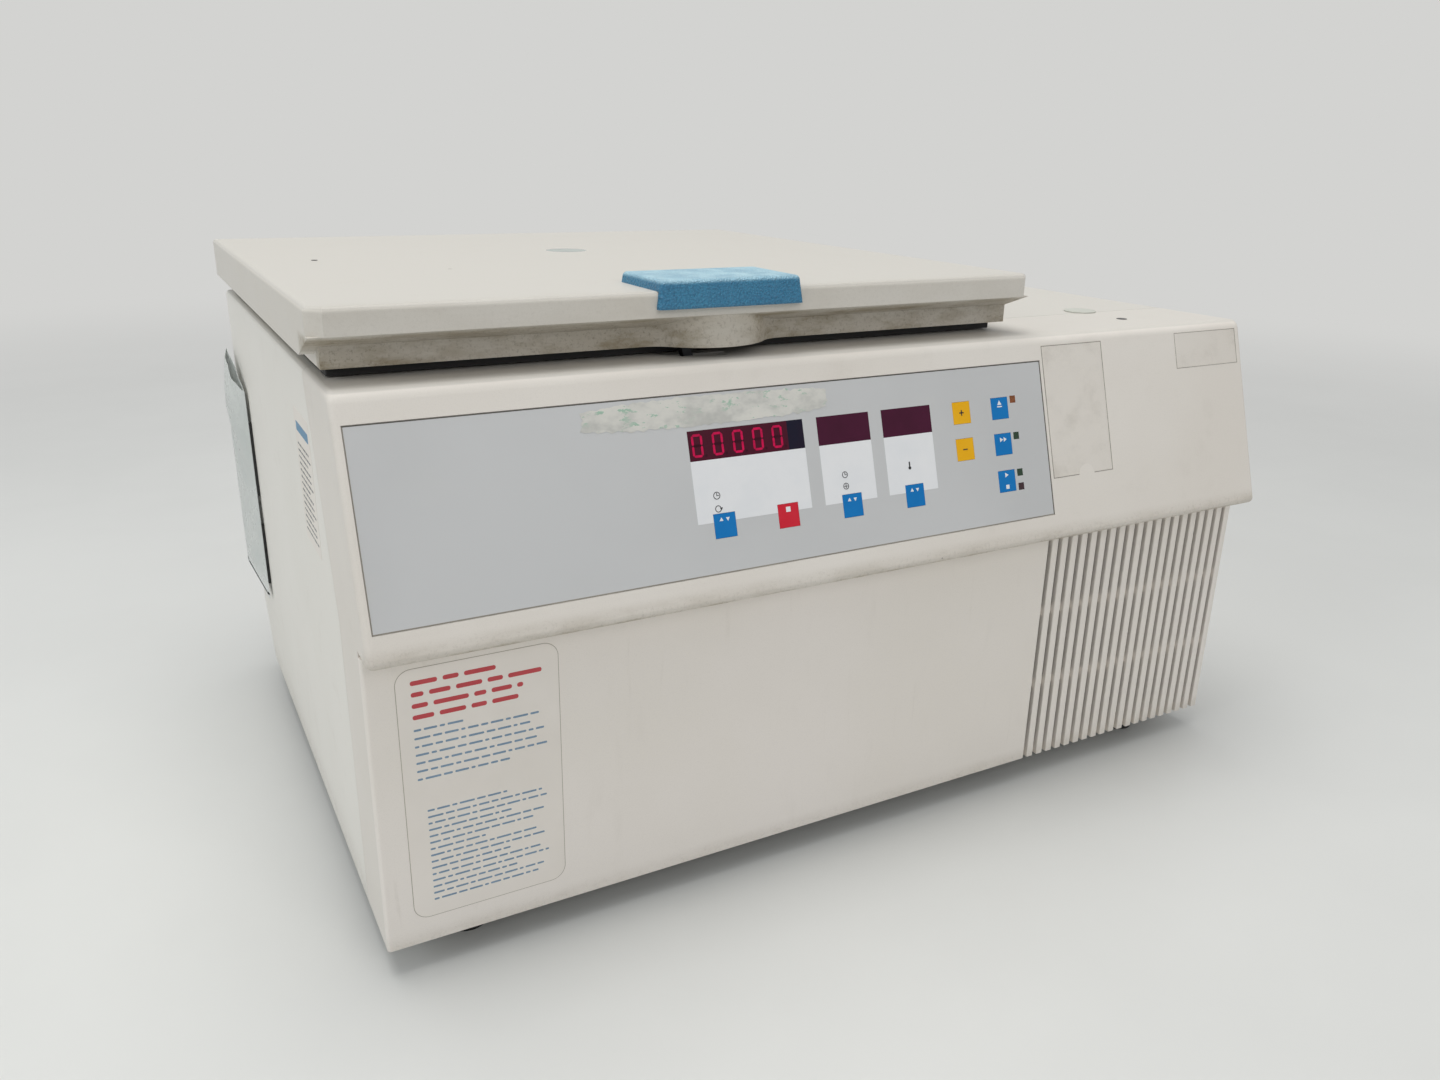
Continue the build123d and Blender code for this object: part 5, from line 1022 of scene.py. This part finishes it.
def cross_recess(spots, lift, name, body, where):
    """A dark cross on each screw head: painted shade standing for its cross recess."""
    crosses = []
    for x, y in spots:
        crosses.append(plate(x - RECESS, x + RECESS, y - RECESS / 5, y + RECESS / 5, HAIR, lift=lift))
        crosses.append(plate(x - RECESS / 5, x + RECESS / 5, y - RECESS, y + RECESS, HAIR, lift=lift))
    join(crosses)
    place(name, BLACK_INK_AND_SHADE, body, where)


# x runs to the left in the rear's own frame
rear_x = [-(LEFT + from_left * MM) for from_left in (486, 581, 676)]
rear_z = [78 * MM, 320 * MM]
cross_recess([(x, z) for x in rear_x for z in rear_z], 2.5 * MM, "rear_screw_recess_shade", "base", REAR)
LID_LEFT, LID_RIGHT = LEFT + 6.3 * MM, LEFT + 468.7 * MM
liner_x = [LID_LEFT + 26 * MM, LID_RIGHT - 26 * MM]
liner_y = [FRONT + 106 * MM, BACK - 62 * MM]
cross_recess([(x, -y) for x in liner_x for y in liner_y], 2.5 * MM, "lid_screw_recess_shade", "lid", LID_UNDER)

PLATE_LEFT, PLATE_RIGHT = -(LEFT / MM + 600), -(LEFT / MM + 520)
label_plate(PLATE_LEFT, PLATE_RIGHT, 88, 128, PAPER_THICK, 2, 5)
place("rating_plate", printed("plate foil", "C4C6C8", "B9BBBD", 0.3), "base", REAR)
join(ruled_lines(PLATE_LEFT + 4, PLATE_RIGHT - 4, rows_from(123, 6, 6), 0.9, PAPER_THICK,
                 [0.3, 0.05, 0.5, 0.15]))
place("rating_plate_lines", BLACK_INK_AND_SHADE, "base", REAR)


# ---------------------------------------------------------------- floor, light and camera
BACKDROP = linear("D3D3D1")
NEAR, FAR = 0.9, 3.2       # the bench top fades into the backdrop between these distances


def seen_ray(tree):
    """1 for what the camera, a gloss or a glass sees, 0 for the light on the object."""
    path = tree.nodes.new("ShaderNodeLightPath")
    seen = path.outputs["Is Camera Ray"]
    for other in ("Is Glossy Ray", "Is Transmission Ray"):
        most = tree.nodes.new("ShaderNodeMath")
        most.operation = "MAXIMUM"
        tree.links.new(seen, most.inputs[0])
        tree.links.new(path.outputs[other], most.inputs[1])
        seen = most.outputs[0]
    return seen


deselect()
bpy.ops.mesh.primitive_circle_add(vertices=96, radius=9, fill_type="NGON")
floor = bpy.context.object
floor.name = "floor"
finish = Finish("bench top", Specular_IOR_Level=0.3)
smudges = finish.noise(2.2, 4, 0.6)
finish.feed("Base Color", finish.mix(smudges.between(0.3, 0.7), linear("DADBD9"), linear("D6D7D5")))
finish.feed("Roughness", 0.3 + smudges * 0.12)
reach = finish.node("ShaderNodeVectorMath", {"operation": "LENGTH"}, [finish.place], "Value")
far_away = finish.node("ShaderNodeEmission", {}, {"Color": BACKDROP})
blend = finish.node("ShaderNodeMixShader", {}, {
    0: reach.between(NEAR, FAR) * Wire(finish, seen_ray(finish.tree)),
    1: Wire(finish, finish.shader.outputs[0]), 2: far_away})
finish.tree.links.new(blend.socket, finish.tree.nodes["Material Output"].inputs["Surface"])
floor.data.materials.append(finish.material)

world = bpy.data.worlds.new("studio")
bpy.context.scene.world = world
world.use_nodes = True
sky = world.node_tree
SKY_TINT, SKY_STRENGTH = (0.96, 0.98, 1.0, 1), 0.44
light = sky.nodes["Background"]
light.inputs["Color"].default_value = SKY_TINT
light.inputs["Strength"].default_value = SKY_STRENGTH
wall = sky.nodes.new("ShaderNodeBackground")
wall.inputs["Color"].default_value = BACKDROP
choose = sky.nodes.new("ShaderNodeMixShader")
sky.links.new(seen_ray(sky), choose.inputs[0])
sky.links.new(light.outputs[0], choose.inputs[1])
sky.links.new(wall.outputs[0], choose.inputs[2])
sky.links.new(choose.outputs[0], sky.nodes["World Output"].inputs["Surface"])


def soft_lamp(name, place_at, aim, size, power, tint):
    """A round area light, aimed at a point; its power is in watts."""
    deselect()
    bpy.ops.object.light_add(type="AREA", location=place_at)
    lamp = bpy.context.object
    lamp.name = name
    lamp.data.shape = "DISK"
    lamp.data.size = size
    lamp.data.energy = power
    lamp.data.color = tint
    lamp.rotation_euler = (Vector(aim) - Vector(place_at)).to_track_quat("-Z", "Y").to_euler()


BODY_MIDDLE = (0, 0, 0.2)
WARM, WARMER, COOL = (1.0, 0.985, 0.96), (1.0, 0.98, 0.95), (0.96, 1.0, 1.0)
soft_lamp("ceiling light", (-0.3, 0.1, 2.8), BODY_MIDDLE, 2.2, 41, WARM)
soft_lamp("forward ceiling light", (-0.3, -0.8, 2.8), (0, -0.3, 0), 2.0, 4, WARM)
soft_lamp("front light", (0.4, -2.6, 1.7), BODY_MIDDLE, 1.3, 10, WARMER)
soft_lamp("left light", (-2.6, -0.5, 1.5), BODY_MIDDLE, 1.3, 12.5, COOL)

CAMERA_AT = (-0.4286, -0.7933, 0.4680)
FOCAL_PIXELS, IMAGE_WIDTH, SENSOR_WIDTH = 1113, 1440, 36
YAW, PITCH, ROLL = 0.5020, 0.3377, 0.0180      # clockwise from +Y, downward, and about the line of sight
deselect()
bpy.ops.object.camera_add(location=CAMERA_AT)
camera = bpy.context.object
camera.data.sensor_width = SENSOR_WIDTH
camera.data.lens = FOCAL_PIXELS * SENSOR_WIDTH / IMAGE_WIDTH
ahead = Vector((sin(YAW) * cos(PITCH), cos(YAW) * cos(PITCH), -sin(PITCH)))
level = Vector((cos(YAW), -sin(YAW), 0))
upward = level.cross(ahead)
across = cos(ROLL) * level + sin(ROLL) * upward
upright = -sin(ROLL) * level + cos(ROLL) * upward
camera.rotation_euler = Matrix((across, upright, -ahead)).transposed().to_euler()
bpy.context.scene.camera = camera
bpy.context.scene.view_settings.view_transform = "Standard"

deselect()
